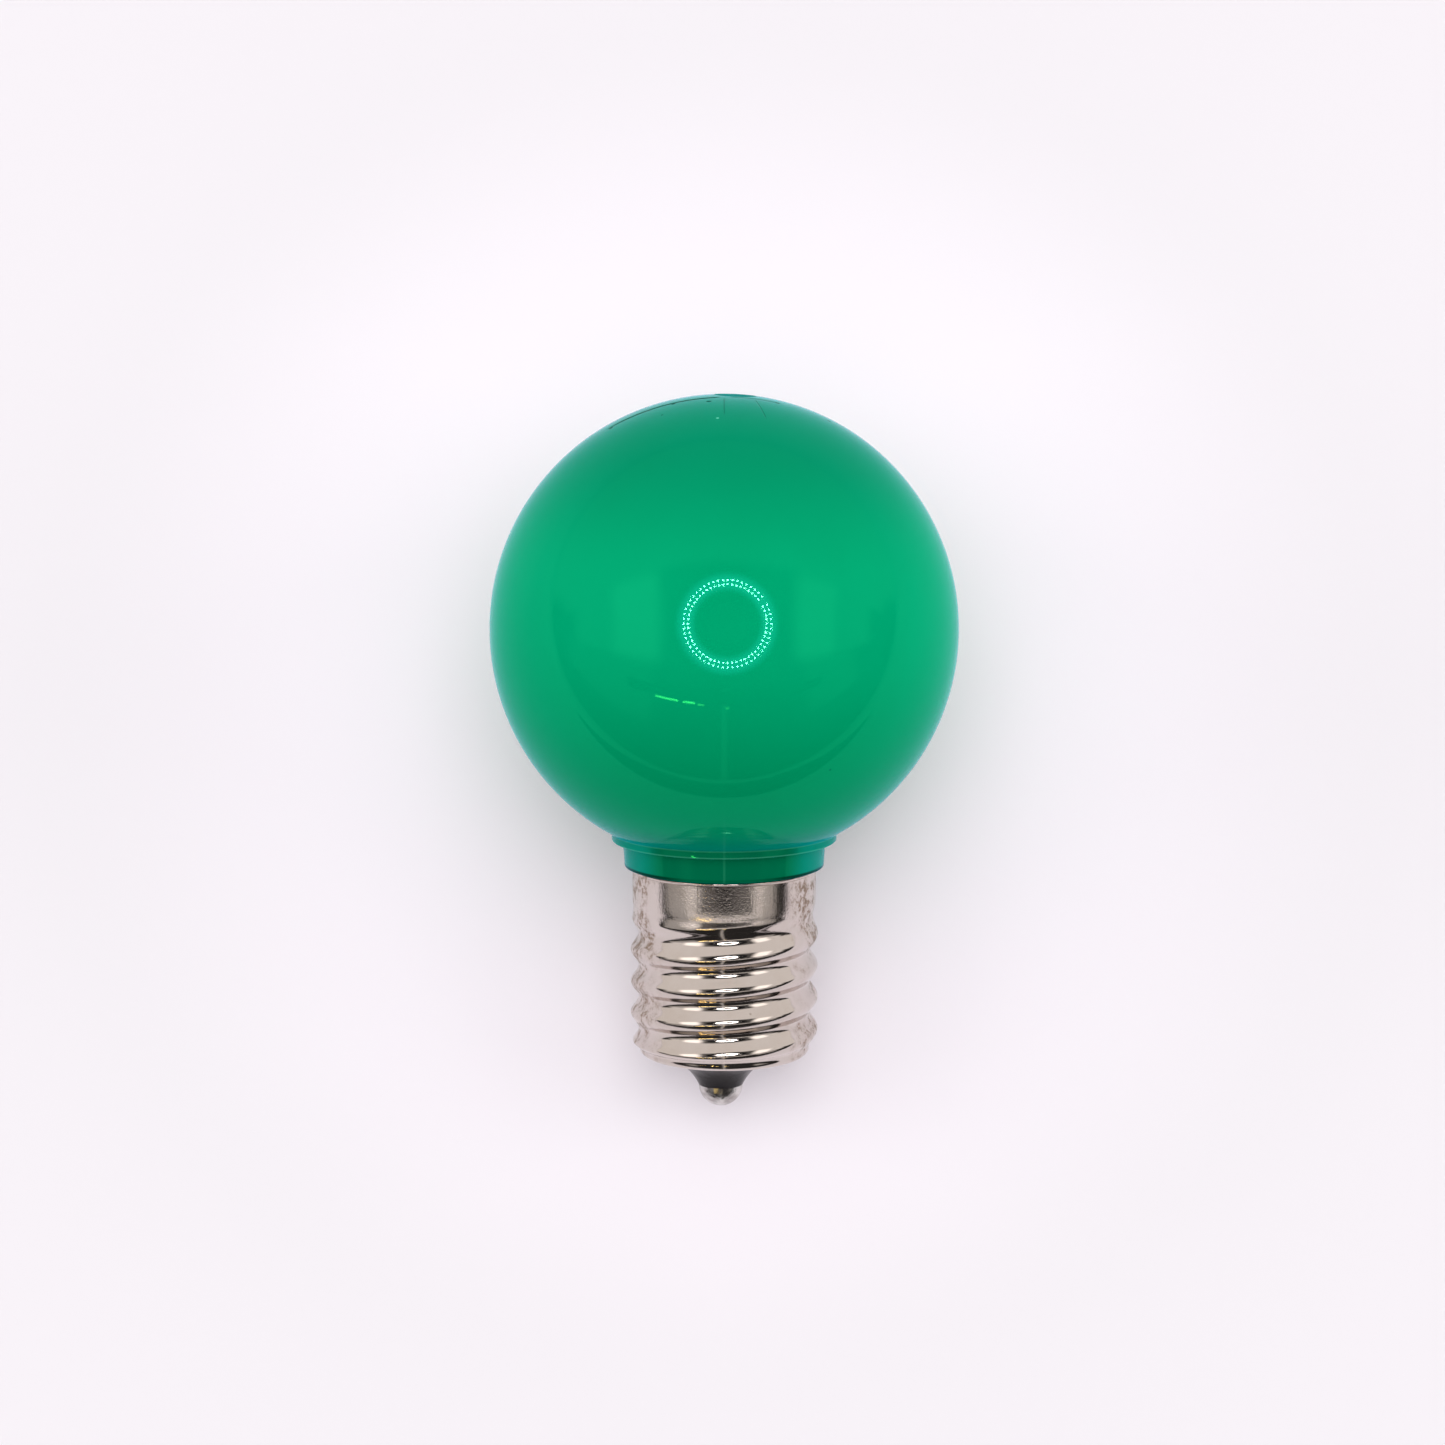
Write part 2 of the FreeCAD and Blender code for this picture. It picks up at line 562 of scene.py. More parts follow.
@dataclass(frozen=True)
class MouldedPlastic(Finish):
    """Glossy bluish-green plastic, coloured through, with the fine marks of its mould, and painted shade and
    reflections in its colour.

    Pairs named heights count from the globe's centre: in globe radii, and at the neck in drops to the
    flange's foot. Pairs named sides and fades are distances from where a line or a shade is full.
    """

    green: tuple = rgb(0.0, 0.385, 0.160)
    # These greens also paint shade and reflections: upper and deep darken the globe's ends, neck darkens the
    # crease band and the neck, flank pales the neck's flanks.
    upper_shade_green: tuple = rgb(0.0, 0.275, 0.122)
    deep_green: tuple = rgb(0.0, 0.228, 0.080)
    neck_and_shade_green: tuple = rgb(0.0, 0.125, 0.054)
    flank_reflection_green: tuple = rgb(0.0, 0.235, 0.170)
    mark_green: tuple = rgb(0.0, 0.085, 0.050)
    # Painted shade in the gap at the neck's foot.
    foot_shade_green: tuple = rgb(0.0, 0.02, 0.008)
    pale_green: tuple = rgb(0.15, 0.75, 0.5)
    gloss_green: tuple = rgb(0.012, 0.395, 0.165)
    gloss_tint: tuple = rgb(0.1, 0.80, 1.0)
    gloss_share: float = 0.09
    ior: float = 1.07
    sheen_weight: float = 0.50
    sheen_roughness: float = 0.38
    sheen_tint: tuple = rgb(0.0, 0.56, 0.80)
    roughness: float = 0.025
    haze_roughness: float = 0.02
    gate_roughness: float = 0.50
    mark_roughness: float = 0.50
    cloud: Noise = Noise(90.0, 3.0)
    haze: Noise = Noise(420.0, 4.0, 0.6)
    ripple: Noise = Noise(45.0, 1.0)
    ripple_height: float = 0.9
    mark_sink: float = 6.0
    relief: float = 0.006 * MM
    upper_shade_heights: tuple = (0.30, 0.85)
    lower_shade_heights: tuple = (0.20, -0.85)
    middle_heights: tuple = (-0.60, -1.0)
    seam_heights: tuple = (0.84, 0.90)
    crease_reflection_heights: tuple = (-0.83, -0.95)
    neck_heights: tuple = (-0.94, -0.97)
    cloud_levels: tuple = (0.35, 0.75)
    neck_cloud_levels: tuple = (0.3, 0.7)
    flank_sides: tuple = (5.2 * MM, 7.4 * MM)
    cloud_share: float = 0.12
    crease_reflection_share: float = 0.55
    neck_cloud_share: float = 0.30
    flank_reflection_share: float = 0.85
    edge_share: float = 0.12
    middle_share: float = 0.04
    middle_fade: tuple = (0.16 * MM, 0.05 * MM)
    lower_edge: float = 0.06 * MM
    upper_edge: float = 0.66 * MM
    upper_edge_share: float = 0.6
    edge_fade: tuple = (0.12 * MM, 0.04 * MM)
    edge_sides: tuple = (9.9 * MM, 8.0 * MM)
    foot_fade: tuple = (0.36 * MM, 0.22 * MM)
    foot_middle: float = 0.30
    foot_flank: float = 0.68
    foot_sides: tuple = (2.5 * MM, 6.0 * MM)
    foot_gloss_loss: float = 0.8
    gate_levels: tuple = (0.98, 1.0)
    # Darkening of the trimmed gate: a matt mark, partly painted shade.
    gate_shade_share: float = 0.5
    seam_half_width: float = 0.30 * MM
    seam_shift: float = 2.15 * MM
    seam_slant: float = 0.045
    seam_wander: float = 0.12 * MM
    seam_noise: Noise = Noise(600.0)
    left_seam: tuple = (0.0, -1.0 * MM)
    right_seam: tuple = (0.5 * MM, 4.6 * MM, 1.0 * MM)
    right_seam_share: float = 0.5
    line_fade: tuple = (0.09 * MM, 0.03 * MM)
    line_reach: tuple = (-6.9 * MM, -2.6 * MM, 0.8 * MM)
    line_share: float = 0.45
    second_line: float = 2.10 * MM
    second_slant: float = 0.2
    mark_share: float = 0.85
    light_speck_share: float = 0.9
    dark_specks: tuple = (
        Spot(-1.31, -3.65, 62.11, 0.30), Spot(-4.31, -2.76, 61.83, 0.25), Spot(4.53, -2.06, 61.87, 0.25),
        Spot(-9.60, -2.99, 59.82, 0.30), Spot(-5.24, -5.26, 61.08, 0.14), Spot(8.92, -1.86, 60.33, 0.22),
        Spot(8.74, -15.46, 32.51, 0.10), Spot(-11.5, -9.6, 56.0, 0.09),
    )
    light_specks: tuple = (Spot(-0.56, -7.60, 61.00, 0.16), Spot(10.9, -12.2, 30.6, 0.10))

    def dress(self, sheet: NodeSheet, shader: bpy.types.Node) -> bpy.types.NodeSocket:
        """Colours the plastic with painted shade and reflections, gives it its skin, and draws the mould's
        marks.

        Args:
            sheet: the material's nodes.
            shader: its main shader.

        Returns:
            What the surface shows.
        """
        place = sheet.parts(self.datum)
        foot = self._foot_shade(place)
        marks = self._marks(sheet, place)
        body = self._shades(sheet, place)
        body = sheet.blend(self._edge_lines(place) * self.edge_share, body, self.pale_green)
        # Painted shade in the gap at the neck's foot.
        body = sheet.blend(foot, body, self.foot_shade_green)
        middle = place.side.line(*self.middle_fade) * self._over_globe(place, self.middle_heights)
        body = sheet.blend(middle * self.middle_share, body, self.pale_green)
        specks = sheet.spots(place.whole, self.light_specks) * self.light_speck_share
        sheet.feed(shader.inputs["Base Color"], sheet.blend(specks, body, self.pale_green))
        haze = sheet.noise(place.whole, self.haze) * self.haze_roughness
        gate = self._gate(sheet, place) * self.gate_roughness
        sheet.feed(shader.inputs["Roughness"], self.roughness + haze + gate)
        shader.inputs["IOR"].default_value = self.ior
        shader.inputs["Specular Tint"].default_value = self.gloss_tint
        shader.inputs["Sheen Weight"].default_value = self.sheen_weight
        shader.inputs["Sheen Roughness"].default_value = self.sheen_roughness
        shader.inputs["Sheen Tint"].default_value = self.sheen_tint
        relief = sheet.noise(place.whole, self.ripple) * self.ripple_height - marks * self.mark_sink
        self.bump(sheet, shader, relief, self.relief)
        glossy = self._gloss(sheet, shader, 1.0 - foot * self.foot_gloss_loss)
        return self._worn(sheet, glossy, marks * self.mark_share)

    def _over_globe(self, place: Place, heights: tuple[float, float]) -> Signal:
        """Rise or fall between two heights in globe radii.

        Args:
            place: place on the upright bulb.
            heights: where the result is 0 and where it is 1, from the globe's centre.

        Returns:
            The smoothed result.
        """
        centre, radius = self.datum.globe_height, self.datum.globe_radius
        return place.height.ramp(*(centre + share * radius for share in heights))

    def _at_neck(self, place: Place, heights: tuple[float, float]) -> Signal:
        """Rise or fall between two heights in drops to the flange's foot.

        Args:
            place: place on the upright bulb.
            heights: where the result is 0 and where it is 1, from the globe's centre.

        Returns:
            The smoothed result.
        """
        centre, drop = self.datum.globe_height, self.datum.flange_drop
        return place.height.ramp(*(centre + share * drop for share in heights))

    def _shades(self, sheet: NodeSheet, place: Place) -> bpy.types.NodeSocket:
        """Colour of the plastic, with painted shade darkening the globe's ends and the neck, and painted
        reflections above the crease and on the neck's flanks.

        Args:
            sheet: the material's nodes.
            place: place on the upright bulb.

        Returns:
            The colour.
        """
        cloud = sheet.noise(place.whole, self.cloud)
        # Painted shade: the globe's upper and lower parts are darker than its middle.
        body = sheet.blend(self._over_globe(place, self.upper_shade_heights), self.green, self.upper_shade_green)
        body = sheet.blend(self._over_globe(place, self.lower_shade_heights), body, self.deep_green)
        body = sheet.blend(cloud.ramp(*self.cloud_levels) * self.cloud_share, body, self.deep_green)
        # Painted reflection: a darker band just above the crease stands for the neck mirrored in the globe.
        crease_reflection = self._at_neck(place, self.crease_reflection_heights)
        body = sheet.blend(crease_reflection * self.crease_reflection_share, body, self.neck_and_shade_green)
        # The neck is darker, partly its own tone and partly painted shade in its crevice.
        neck = self._at_neck(place, self.neck_heights)
        share = cloud.ramp(*self.neck_cloud_levels) * self.neck_cloud_share
        body = sheet.blend(neck, body, sheet.blend(share, self.neck_and_shade_green, self.deep_green))
        # Painted reflection of the side lamps: paler, bluer flanks on the neck.
        flank = place.side.size().ramp(*self.flank_sides) * self.flank_reflection_share
        return sheet.blend(neck * flank, body, self.flank_reflection_green)

    def _gloss(self, sheet: NodeSheet, shader: bpy.types.Node, clear: Signal) -> bpy.types.NodeSocket:
        """Adds the mirror image on the skin of the plastic, tinted by its depth.

        Args:
            sheet: the material's nodes.
            shader: the dressed body of the plastic.
            clear: 1 where the skin is clear, less where the painted shade at the neck's foot dims it.

        Returns:
            The body with its gloss.
        """
        inputs = {"Base Color": self.gloss_green, "Metallic": 1.0, "Specular Tint": self.gloss_tint}
        for name in ("Roughness", "Normal"):
            inputs[name] = shader.inputs[name].links[0].from_socket
        gloss = sheet.node("ShaderNodeBsdfPrincipled", None, inputs)
        return sheet.mix(clear * self.gloss_share, shader.outputs["BSDF"], gloss.outputs["BSDF"])

    def _worn(self, sheet: NodeSheet, body: bpy.types.NodeSocket, marks: Signal) -> bpy.types.NodeSocket:
        """Lays the matt marks of the mould over the plastic.

        Args:
            sheet: the material's nodes.
            body: the plastic with its gloss.
            marks: where the marks lie.

        Returns:
            The marked plastic.
        """
        inputs = {"Base Color": self.mark_green, "Roughness": self.mark_roughness, "IOR": 1.0}
        worn = sheet.node("ShaderNodeBsdfPrincipled", None, inputs)
        return sheet.mix(marks, body, worn.outputs["BSDF"])

    def _edge_lines(self, place: Place) -> Signal:
        """Light that the two edges of the flange catch.

        Args:
            place: place on the upright bulb.

        Returns:
            The lines.
        """
        foot = self.datum.flange_foot
        lower = (place.height - (foot + self.lower_edge)).line(*self.edge_fade)
        upper = (place.height - (foot + self.upper_edge)).line(*self.edge_fade)
        return (lower + upper * self.upper_edge_share) * place.side.size().ramp(*self.edge_sides)

    def _foot_shade(self, place: Place) -> Signal:
        """Painted shade in the gap between the neck's foot and the cap, strongest at the sides.

        Args:
            place: place on the upright bulb.

        Returns:
            The line.
        """
        foot = self.datum.neck_foot
        line = place.height.ramp(*(foot + reach for reach in self.foot_fade))
        return line * (self.foot_middle + self.foot_flank * place.side.size().ramp(*self.foot_sides))

    def _gate(self, sheet: NodeSheet, place: Place) -> Signal:
        """The rough flat at the trimmed gate.

        Args:
            sheet: the material's nodes.
            place: place on the upright bulb.

        Returns:
            The flat's mask.
        """
        top = self.datum.globe_height + self.datum.globe_radius
        flat = Spot(self.datum.gate_offset / MM, 0.0, top / MM, 2 * self.datum.gate_radius / MM)
        return sheet.spot(place.whole, flat).ramp(*self.gate_levels)

    def _marks(self, sheet: NodeSheet, place: Place) -> Signal:
        """Parting line beside the gate, two faint lines down from it, the trimmed gate, and dark specks.

        Args:
            sheet: the material's nodes.
            place: place on the upright bulb.

        Returns:
            The marks, from 0 to 1.
        """
        side, depth = place.side, place.depth
        wander = sheet.noise(place.whole, self.seam_noise) * self.seam_wander
        seam = depth + self.seam_shift - side * self.seam_slant + wander
        seam = seam.line(self.seam_half_width, self.seam_half_width / 2)
        right = side.within(*self.right_seam) * self.right_seam_share
        seam = seam * (side.ramp(*self.left_seam) + right)
        first = side.line(*self.line_fade)
        second = (side - self.second_line + depth * self.second_slant).line(*self.line_fade)
        lines = (first + second) * depth.within(*self.line_reach) * self.line_share
        top = self._over_globe(place, self.seam_heights)
        specks = sheet.spots(place.whole, self.dark_specks)
        # The trimmed gate is matt, and its dark colour is partly painted shade on the flat.
        gate = self._gate(sheet, place) * self.gate_shade_share
        return ((seam + lines) * top + specks + gate).ramp(0.0, 1.0)


@dataclass(frozen=True)
class NickelPlate(Finish):
    """Bright nickel on thin rolled sheet: grained skirt, burnished thread, tarnish that gathers at the sides,
    where it also paints shade on the flanks.
    """

    nickel: tuple = rgb(0.63, 0.565, 0.53)
    warm: tuple = rgb(0.54, 0.46, 0.40)
    # Brown of the tarnish, which also paints shade on the cap's flanks.
    tarnish_and_shade: tuple = rgb(0.20, 0.12, 0.06)
    skirt_heights: tuple = (17.3 * MM, 17.9 * MM)
    cloud: Noise = Noise(260.0, 4.0, 0.6)
    rings: Noise = Noise(900.0, 3.0, 0.65)
    rings_stretch: tuple = (0.35, 0.35, 9.0)
    drawn: Noise = Noise(900.0, 3.0, 0.6)
    drawn_stretch: tuple = (6.0, 6.0, 0.5)
    grain: Noise = Noise(5200.0, 2.0, 0.7)
    spots: Noise = Noise(1100.0, 6.0, 0.85)
    spot_levels: tuple = (0.44, 0.62)
    patches: Noise = Noise(260.0, 2.0, 0.6)
    patch_levels: tuple = (0.38, 0.58)
    flank_sides: tuple = (4.4 * MM, 7.6 * MM)
    middle_stain: float = 0.10
    flank_tarnish_and_shade: float = 0.90
    fleck: Spot = Spot(2.29, -7.71, 10.09, 0.30)
    fleck_stain: float = 0.8
    tarnished: tuple = (
        Spot(-7.2, -3.4, 16.4, 2.6), Spot(-7.6, -2.6, 13.4, 1.8),
        Spot(7.2, -3.4, 19.2, 2.4), Spot(7.6, -2.4, 15.6, 1.8),
    )
    tarnished_stain: float = 0.9
    warm_levels: tuple = (0.3, 0.8)
    warm_share: float = 0.5
    stain_share: float = 0.8
    roughness: float = 0.085
    skirt_roughness: float = 0.035
    ring_levels: tuple = (0.4, 0.8)
    ring_roughness: float = 0.04
    stain_roughness: float = 0.3
    grain_height: float = 1.3
    ring_height: float = 0.5
    drawn_height: float = 0.8
    fine_on_thread: float = 0.04
    fine_on_skirt: float = 0.60
    cloud_height: float = 0.5
    stain_sink: float = 0.15
    relief: float = 0.014 * MM

    def dress(self, sheet: NodeSheet, shader: bpy.types.Node) -> bpy.types.NodeSocket:
        """Colours the plate and gives it its grain, brushing and tarnish.

        Args:
            sheet: the material's nodes.
            shader: its main shader.

        Returns:
            What the surface shows.
        """
        place = sheet.parts(self.datum)
        upright = place.whole
        skirt = place.height.ramp(*self.skirt_heights)
        cloud = sheet.noise(upright, self.cloud)
        rings = sheet.noise(upright, self.rings, self.rings_stretch)
        drawn = sheet.noise(upright, self.drawn, self.drawn_stretch)
        grain = sheet.noise(upright, self.grain)
        stain_and_shade = self._stain_and_shade(sheet, place)
        plate = sheet.blend(cloud.ramp(*self.warm_levels) * self.warm_share, self.nickel, self.warm)
        sheet.feed(shader.inputs["Base Color"], sheet.blend(stain_and_shade * self.stain_share, plate, self.tarnish_and_shade))
        shader.inputs["Metallic"].default_value = 1.0
        rough = self.roughness + skirt * self.skirt_roughness + stain_and_shade * self.stain_roughness
        sheet.feed(shader.inputs["Roughness"], rough + rings.ramp(*self.ring_levels) * self.ring_roughness)
        fine = grain * self.grain_height + rings * self.ring_height + drawn * self.drawn_height
        fine = fine * (self.fine_on_thread + skirt * self.fine_on_skirt)
        self.bump(sheet, shader, fine + cloud * self.cloud_height - stain_and_shade * self.stain_sink, self.relief)
        return shader.outputs["BSDF"]

    def _stain_and_shade(self, sheet: NodeSheet, place: Place) -> Signal:
        """Brown tarnish in specks and patches, most of it at the sides, where it also paints shade on the
        flanks.

        Args:
            sheet: the material's nodes.
            place: place on the upright bulb.

        Returns:
            The stain, from 0 to 1.
        """
        upright = place.whole
        spots = sheet.noise(upright, self.spots).ramp(*self.spot_levels)
        patches = sheet.noise(upright, self.patches).ramp(*self.patch_levels)
        # Tarnish weighted to the sides, where it also stands for painted shade on the flanks.
        flank = place.side.size().ramp(*self.flank_sides)
        stain_and_shade = spots * patches * (self.middle_stain + flank * self.flank_tarnish_and_shade)
        stain_and_shade = stain_and_shade + sheet.spot(upright, self.fleck) * self.fleck_stain
        stain_and_shade = stain_and_shade + sheet.spots(upright, self.tarnished) * spots * self.tarnished_stain
        return stain_and_shade.ramp(0.0, 1.0)


@dataclass(frozen=True)
class BlackGlass(Finish):
    """Opaque black glass, fire-polished."""

    black: tuple = rgb(0.008, 0.008, 0.011)
    brown: tuple = rgb(0.022, 0.018, 0.016)
    cloud: Noise = Noise(500.0, 3.0)
    roughness: float = 0.08
    cloud_roughness: float = 0.10
    ior: float = 1.24
    roll: Noise = Noise(600.0)
    relief: float = 0.06 * MM

    def dress(self, sheet: NodeSheet, shader: bpy.types.Node) -> bpy.types.NodeSocket:
        """Colours the glass and lets its surface roll a little.

        Args:
            sheet: the material's nodes.
            shader: its main shader.

        Returns:
            What the surface shows.
        """
        upright = sheet.upright(self.datum)
        cloud = sheet.noise(upright, self.cloud)
        sheet.feed(shader.inputs["Base Color"], sheet.blend(cloud, self.black, self.brown))
        sheet.feed(shader.inputs["Roughness"], self.roughness + cloud * self.cloud_roughness)
        shader.inputs["IOR"].default_value = self.ior
        self.bump(sheet, shader, sheet.noise(upright, self.roll), self.relief)
        return shader.outputs["BSDF"]


@dataclass(frozen=True)
class TinnedMetal(Finish):
    """Bright tin, laid on molten and left as it set."""

    tin: tuple = rgb(0.66, 0.64, 0.62)
    dull: tuple = rgb(0.30, 0.27, 0.26)
    cloud: Noise = Noise(900.0, 3.0, 0.6)
    dull_levels: tuple = (0.38, 0.66)
    dull_share: float = 0.85
    roughness: float = 0.12
    cloud_roughness: float = 0.2
    ripple: Noise = Noise(1300.0, 3.0, 0.6)
    relief: float = 0.09 * MM

    def dress(self, sheet: NodeSheet, shader: bpy.types.Node) -> bpy.types.NodeSocket:
        """Colours the tin and ripples it.

        Args:
            sheet: the material's nodes.
            shader: its main shader.

        Returns:
            What the surface shows.
        """
        upright = sheet.upright(self.datum)
        cloud = sheet.noise(upright, self.cloud)
        share = cloud.ramp(*self.dull_levels) * self.dull_share
        sheet.feed(shader.inputs["Base Color"], sheet.blend(share, self.tin, self.dull))
        shader.inputs["Metallic"].default_value = 1.0
        sheet.feed(shader.inputs["Roughness"], self.roughness + cloud * self.cloud_roughness)
        self.bump(sheet, shader, sheet.noise(upright, self.ripple), self.relief)
        return shader.outputs["BSDF"]


class Bench:
    """Where pieces are modelled: upright, in edit mode, ring by ring."""

    TOUCH = 0.001 * MM
    DOUBLE = 0.0005 * MM

    @staticmethod
    def clear() -> None:
        """Leaves edit mode and deselects everything."""
        if bpy.context.object is not None and bpy.context.object.mode != "OBJECT":
            bpy.ops.object.mode_set(mode="OBJECT")
        bpy.ops.object.select_all(action="DESELECT")

    @staticmethod
    def take(piece: bpy.types.Object) -> None:
        """Selects one piece alone and makes it the active one.

        Args:
            piece: the piece.
        """
        Bench.clear()
        piece.select_set(True)
        bpy.context.view_layer.objects.active = piece

    @staticmethod
    def ring(name: str, radius: float, height: float, count: int) -> bpy.types.Object:
        """Starts a turned piece as one ring of edges, in edit mode with the ring selected.

        Args:
            name: the piece's name.
            radius: the ring's radius.
            height: its height on the upright bulb.
            count: how many vertices it has.

        Returns:
            The new piece.
        """
        Bench.clear()
        bpy.ops.mesh.primitive_circle_add(vertices=count, radius=radius, location=ORIGIN)
        piece = bpy.context.object
        piece.name = name
        piece.data.name = name
        bpy.ops.object.mode_set(mode="EDIT")
        bpy.ops.mesh.select_all(action="SELECT")
        bpy.ops.transform.translate(value=(0.0, 0.0, height))
        return piece

    @staticmethod
    def draw_on(outline: list[tuple[float, float]], start: tuple[float, float], shift: float = 0.0) -> None:
        """Extrudes the selected ring through the points of an outline.

        Args:
            outline: radii and heights, in order.
            start: radius and height of the selected ring.
            shift: how far each ring's centre lies from the axis, along X.
        """
        radius, height = start
        for next_radius, next_height in outline:
            lift = {"value": (0.0, 0.0, next_height - height)}
            bpy.ops.mesh.extrude_region_move(TRANSFORM_OT_translate=lift)
            share = next_radius / radius
            bpy.ops.transform.resize(value=(share, share, 1.0), center_override=(shift, 0.0, next_height))
            radius, height = next_radius, next_height

    @staticmethod
    def close() -> None:
        """Fills the selected ring with one face."""
        bpy.ops.mesh.edge_face_add()

    @staticmethod
    def tidy_normals() -> None:
        """Merges doubles and turns every face outwards, then leaves edit mode."""
        bpy.ops.mesh.select_all(action="SELECT")
        bpy.ops.mesh.remove_doubles(threshold=Bench.DOUBLE)
        bpy.ops.mesh.normals_make_consistent(inside=False)
        bpy.ops.object.mode_set(mode="OBJECT")

    @staticmethod
    def modify(piece: bpy.types.Object, kind: str, **settings: object) -> None:
        """Adds a modifier and applies it.

        Args:
            piece: the piece to change.
            kind: the modifier's type.
            **settings: its properties.
        """
        Bench.take(piece)
        modifier = piece.modifiers.new(kind.lower(), kind)
        for name, value in settings.items():
            setattr(modifier, name, value)
        bpy.ops.object.modifier_apply(modifier=modifier.name)

    @staticmethod
    def smooth(piece: bpy.types.Object, angle: float) -> None:
        """Shades a piece smooth and leaves its sharper edges sharp.

        Args:
            piece: the piece.
            angle: angle in degrees from which an edge stays sharp.
        """
        Bench.take(piece)
        bpy.ops.object.shade_smooth_by_angle(angle=math.radians(angle))

    @staticmethod
    def lay(piece: bpy.types.Object, datum: BulbDatum) -> None:
        """Takes a piece from upright to where the bulb lies.

        Args:
            piece: the piece.
            datum: how the bulb lies.
        """
        Bench.take(piece)
        Bench.put(piece, datum.matrix)

    @staticmethod
    def put(piece: bpy.types.Object, matrix: Matrix) -> None:
        """Moves the active piece and keeps its place in its mesh.

        Args:
            piece: the piece, selected alone.
            matrix: where it goes.
        """
        piece.matrix_world = matrix
        bpy.ops.object.transform_apply(location=True, rotation=True, scale=True)


@dataclass
class BulbPiece:
    """A piece of the bulb: it stands for one solid and takes one finish."""

    datum: BulbDatum
    node: str = ""
    slot: Slot = Slot.PLASTIC
    smooth_angle: float = 35.0

    def build(self) -> bpy.types.Object:
        """Models the piece upright; each piece has its own way."""
        raise NotImplementedError

    def finish(self) -> Finish:
        """The piece's finish; each piece has its own."""
        raise NotImplementedError

    def place(self) -> bpy.types.Object:
        """Returns:
            The piece, in the frame.
        """
        piece = self.build()
        Bench.lay(piece, self.datum)
        piece.data.materials.clear()
        piece.data.materials.append(self.finish().make())
        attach(piece, "root")
        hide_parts(self.node)
        LOG.info("%s: %d faces", piece.name, len(piece.data.polygons))
        return piece


@dataclass
class Globe(BulbPiece):
    """Moulded globe with its flange, neck and spigot, and the flat at the trimmed gate."""

    node: str = "globe"
    slot: Slot = Slot.PLASTIC
    smooth_angle: float = 30.0
    segments: int = 192
    rings: int = 96
    flange_radius: float = 9.80 * MM
    neck_top_radius: float = 8.84 * MM
    neck_bottom_radius: float = 8.70 * MM
    spigot_radius: float = 7.70 * MM
    spigot_length: float = 4.0 * MM
    spigot_lead: float = 0.4 * MM
    edge_round: float = 0.10 * MM
    edge_rows: int = 3
    edge_angle: float = 25.0
    gate_segments: int = 96

    def build(self) -> bpy.types.Object:
        """Cuts a ball at the crease and draws the flange, neck and spigot out of the cut.

        Returns:
            The piece, upright.
        """
        Bench.clear()
        radius = self.datum.globe_radius
        centre = self.datum.globe_height
        bpy.ops.mesh.primitive_uv_sphere_add(
            segments=self.segments, ring_count=self.rings, radius=radius, location=ORIGIN)
        piece = bpy.context.object
        piece.name = "bulb_globe"
        piece.data.name = "bulb_globe"
        bpy.ops.object.mode_set(mode="EDIT")
        bpy.ops.mesh.select_all(action="SELECT")
        bpy.ops.transform.translate(value=(0.0, 0.0, centre))
        crease = centre - math.sqrt(radius ** 2 - self.flange_radius ** 2)
        bpy.ops.mesh.bisect(plane_co=(0.0, 0.0, crease), plane_no=(0.0, 0.0, 1.0), clear_inner=True)
        flange_low, neck_low = self.datum.flange_foot, self.datum.neck_foot
        spigot_low = neck_low - self.spigot_length
        Bench.draw_on([
            (self.flange_radius, flange_low),
            (self.neck_top_radius, flange_low),
            (self.neck_bottom_radius, neck_low),
            (self.spigot_radius, neck_low),
            (self.spigot_radius, spigot_low + self.spigot_lead),
            (self.spigot_radius - self.spigot_lead, spigot_low),
        ], (self.flange_radius, crease))
        Bench.close()
        Bench.tidy_normals()
        limit = math.radians(self.edge_angle)
        Bench.modify(piece, "BEVEL", width=self.edge_round, segments=self.edge_rows,
                     limit_method="ANGLE", angle_limit=limit)
        self._trim_gate(piece, Vector((0.0, 0.0, centre)))
        Bench.smooth(piece, self.smooth_angle)
        return piece

    def _trim_gate(self, piece: bpy.types.Object, centre: Vector) -> None:
        """Cuts the flat that the trimmed gate left.

        Args:
            piece: the globe.
            centre: the centre of its ball.
        """
        Bench.clear()
        radius, flat = self.datum.globe_radius, self.datum.gate_radius
        turn = math.asin(self.datum.gate_offset / radius)
        axis = Vector((math.sin(turn), 0.0, math.cos(turn)))
        middle = centre + axis * (math.sqrt(radius ** 2 - flat ** 2) + flat / 2)
        bpy.ops.mesh.primitive_cylinder_add(
            vertices=self.gate_segments, radius=2 * flat, depth=flat,
            location=middle, rotation=(0.0, turn, 0.0))
        block = bpy.context.object
        Bench.modify(piece, "BOOLEAN", operation="DIFFERENCE", object=block, solver="EXACT")
        bpy.data.objects.remove(block)

    def finish(self) -> Finish:
        """Glossy green plastic."""
        return MouldedPlastic("green_moulding", self.datum)


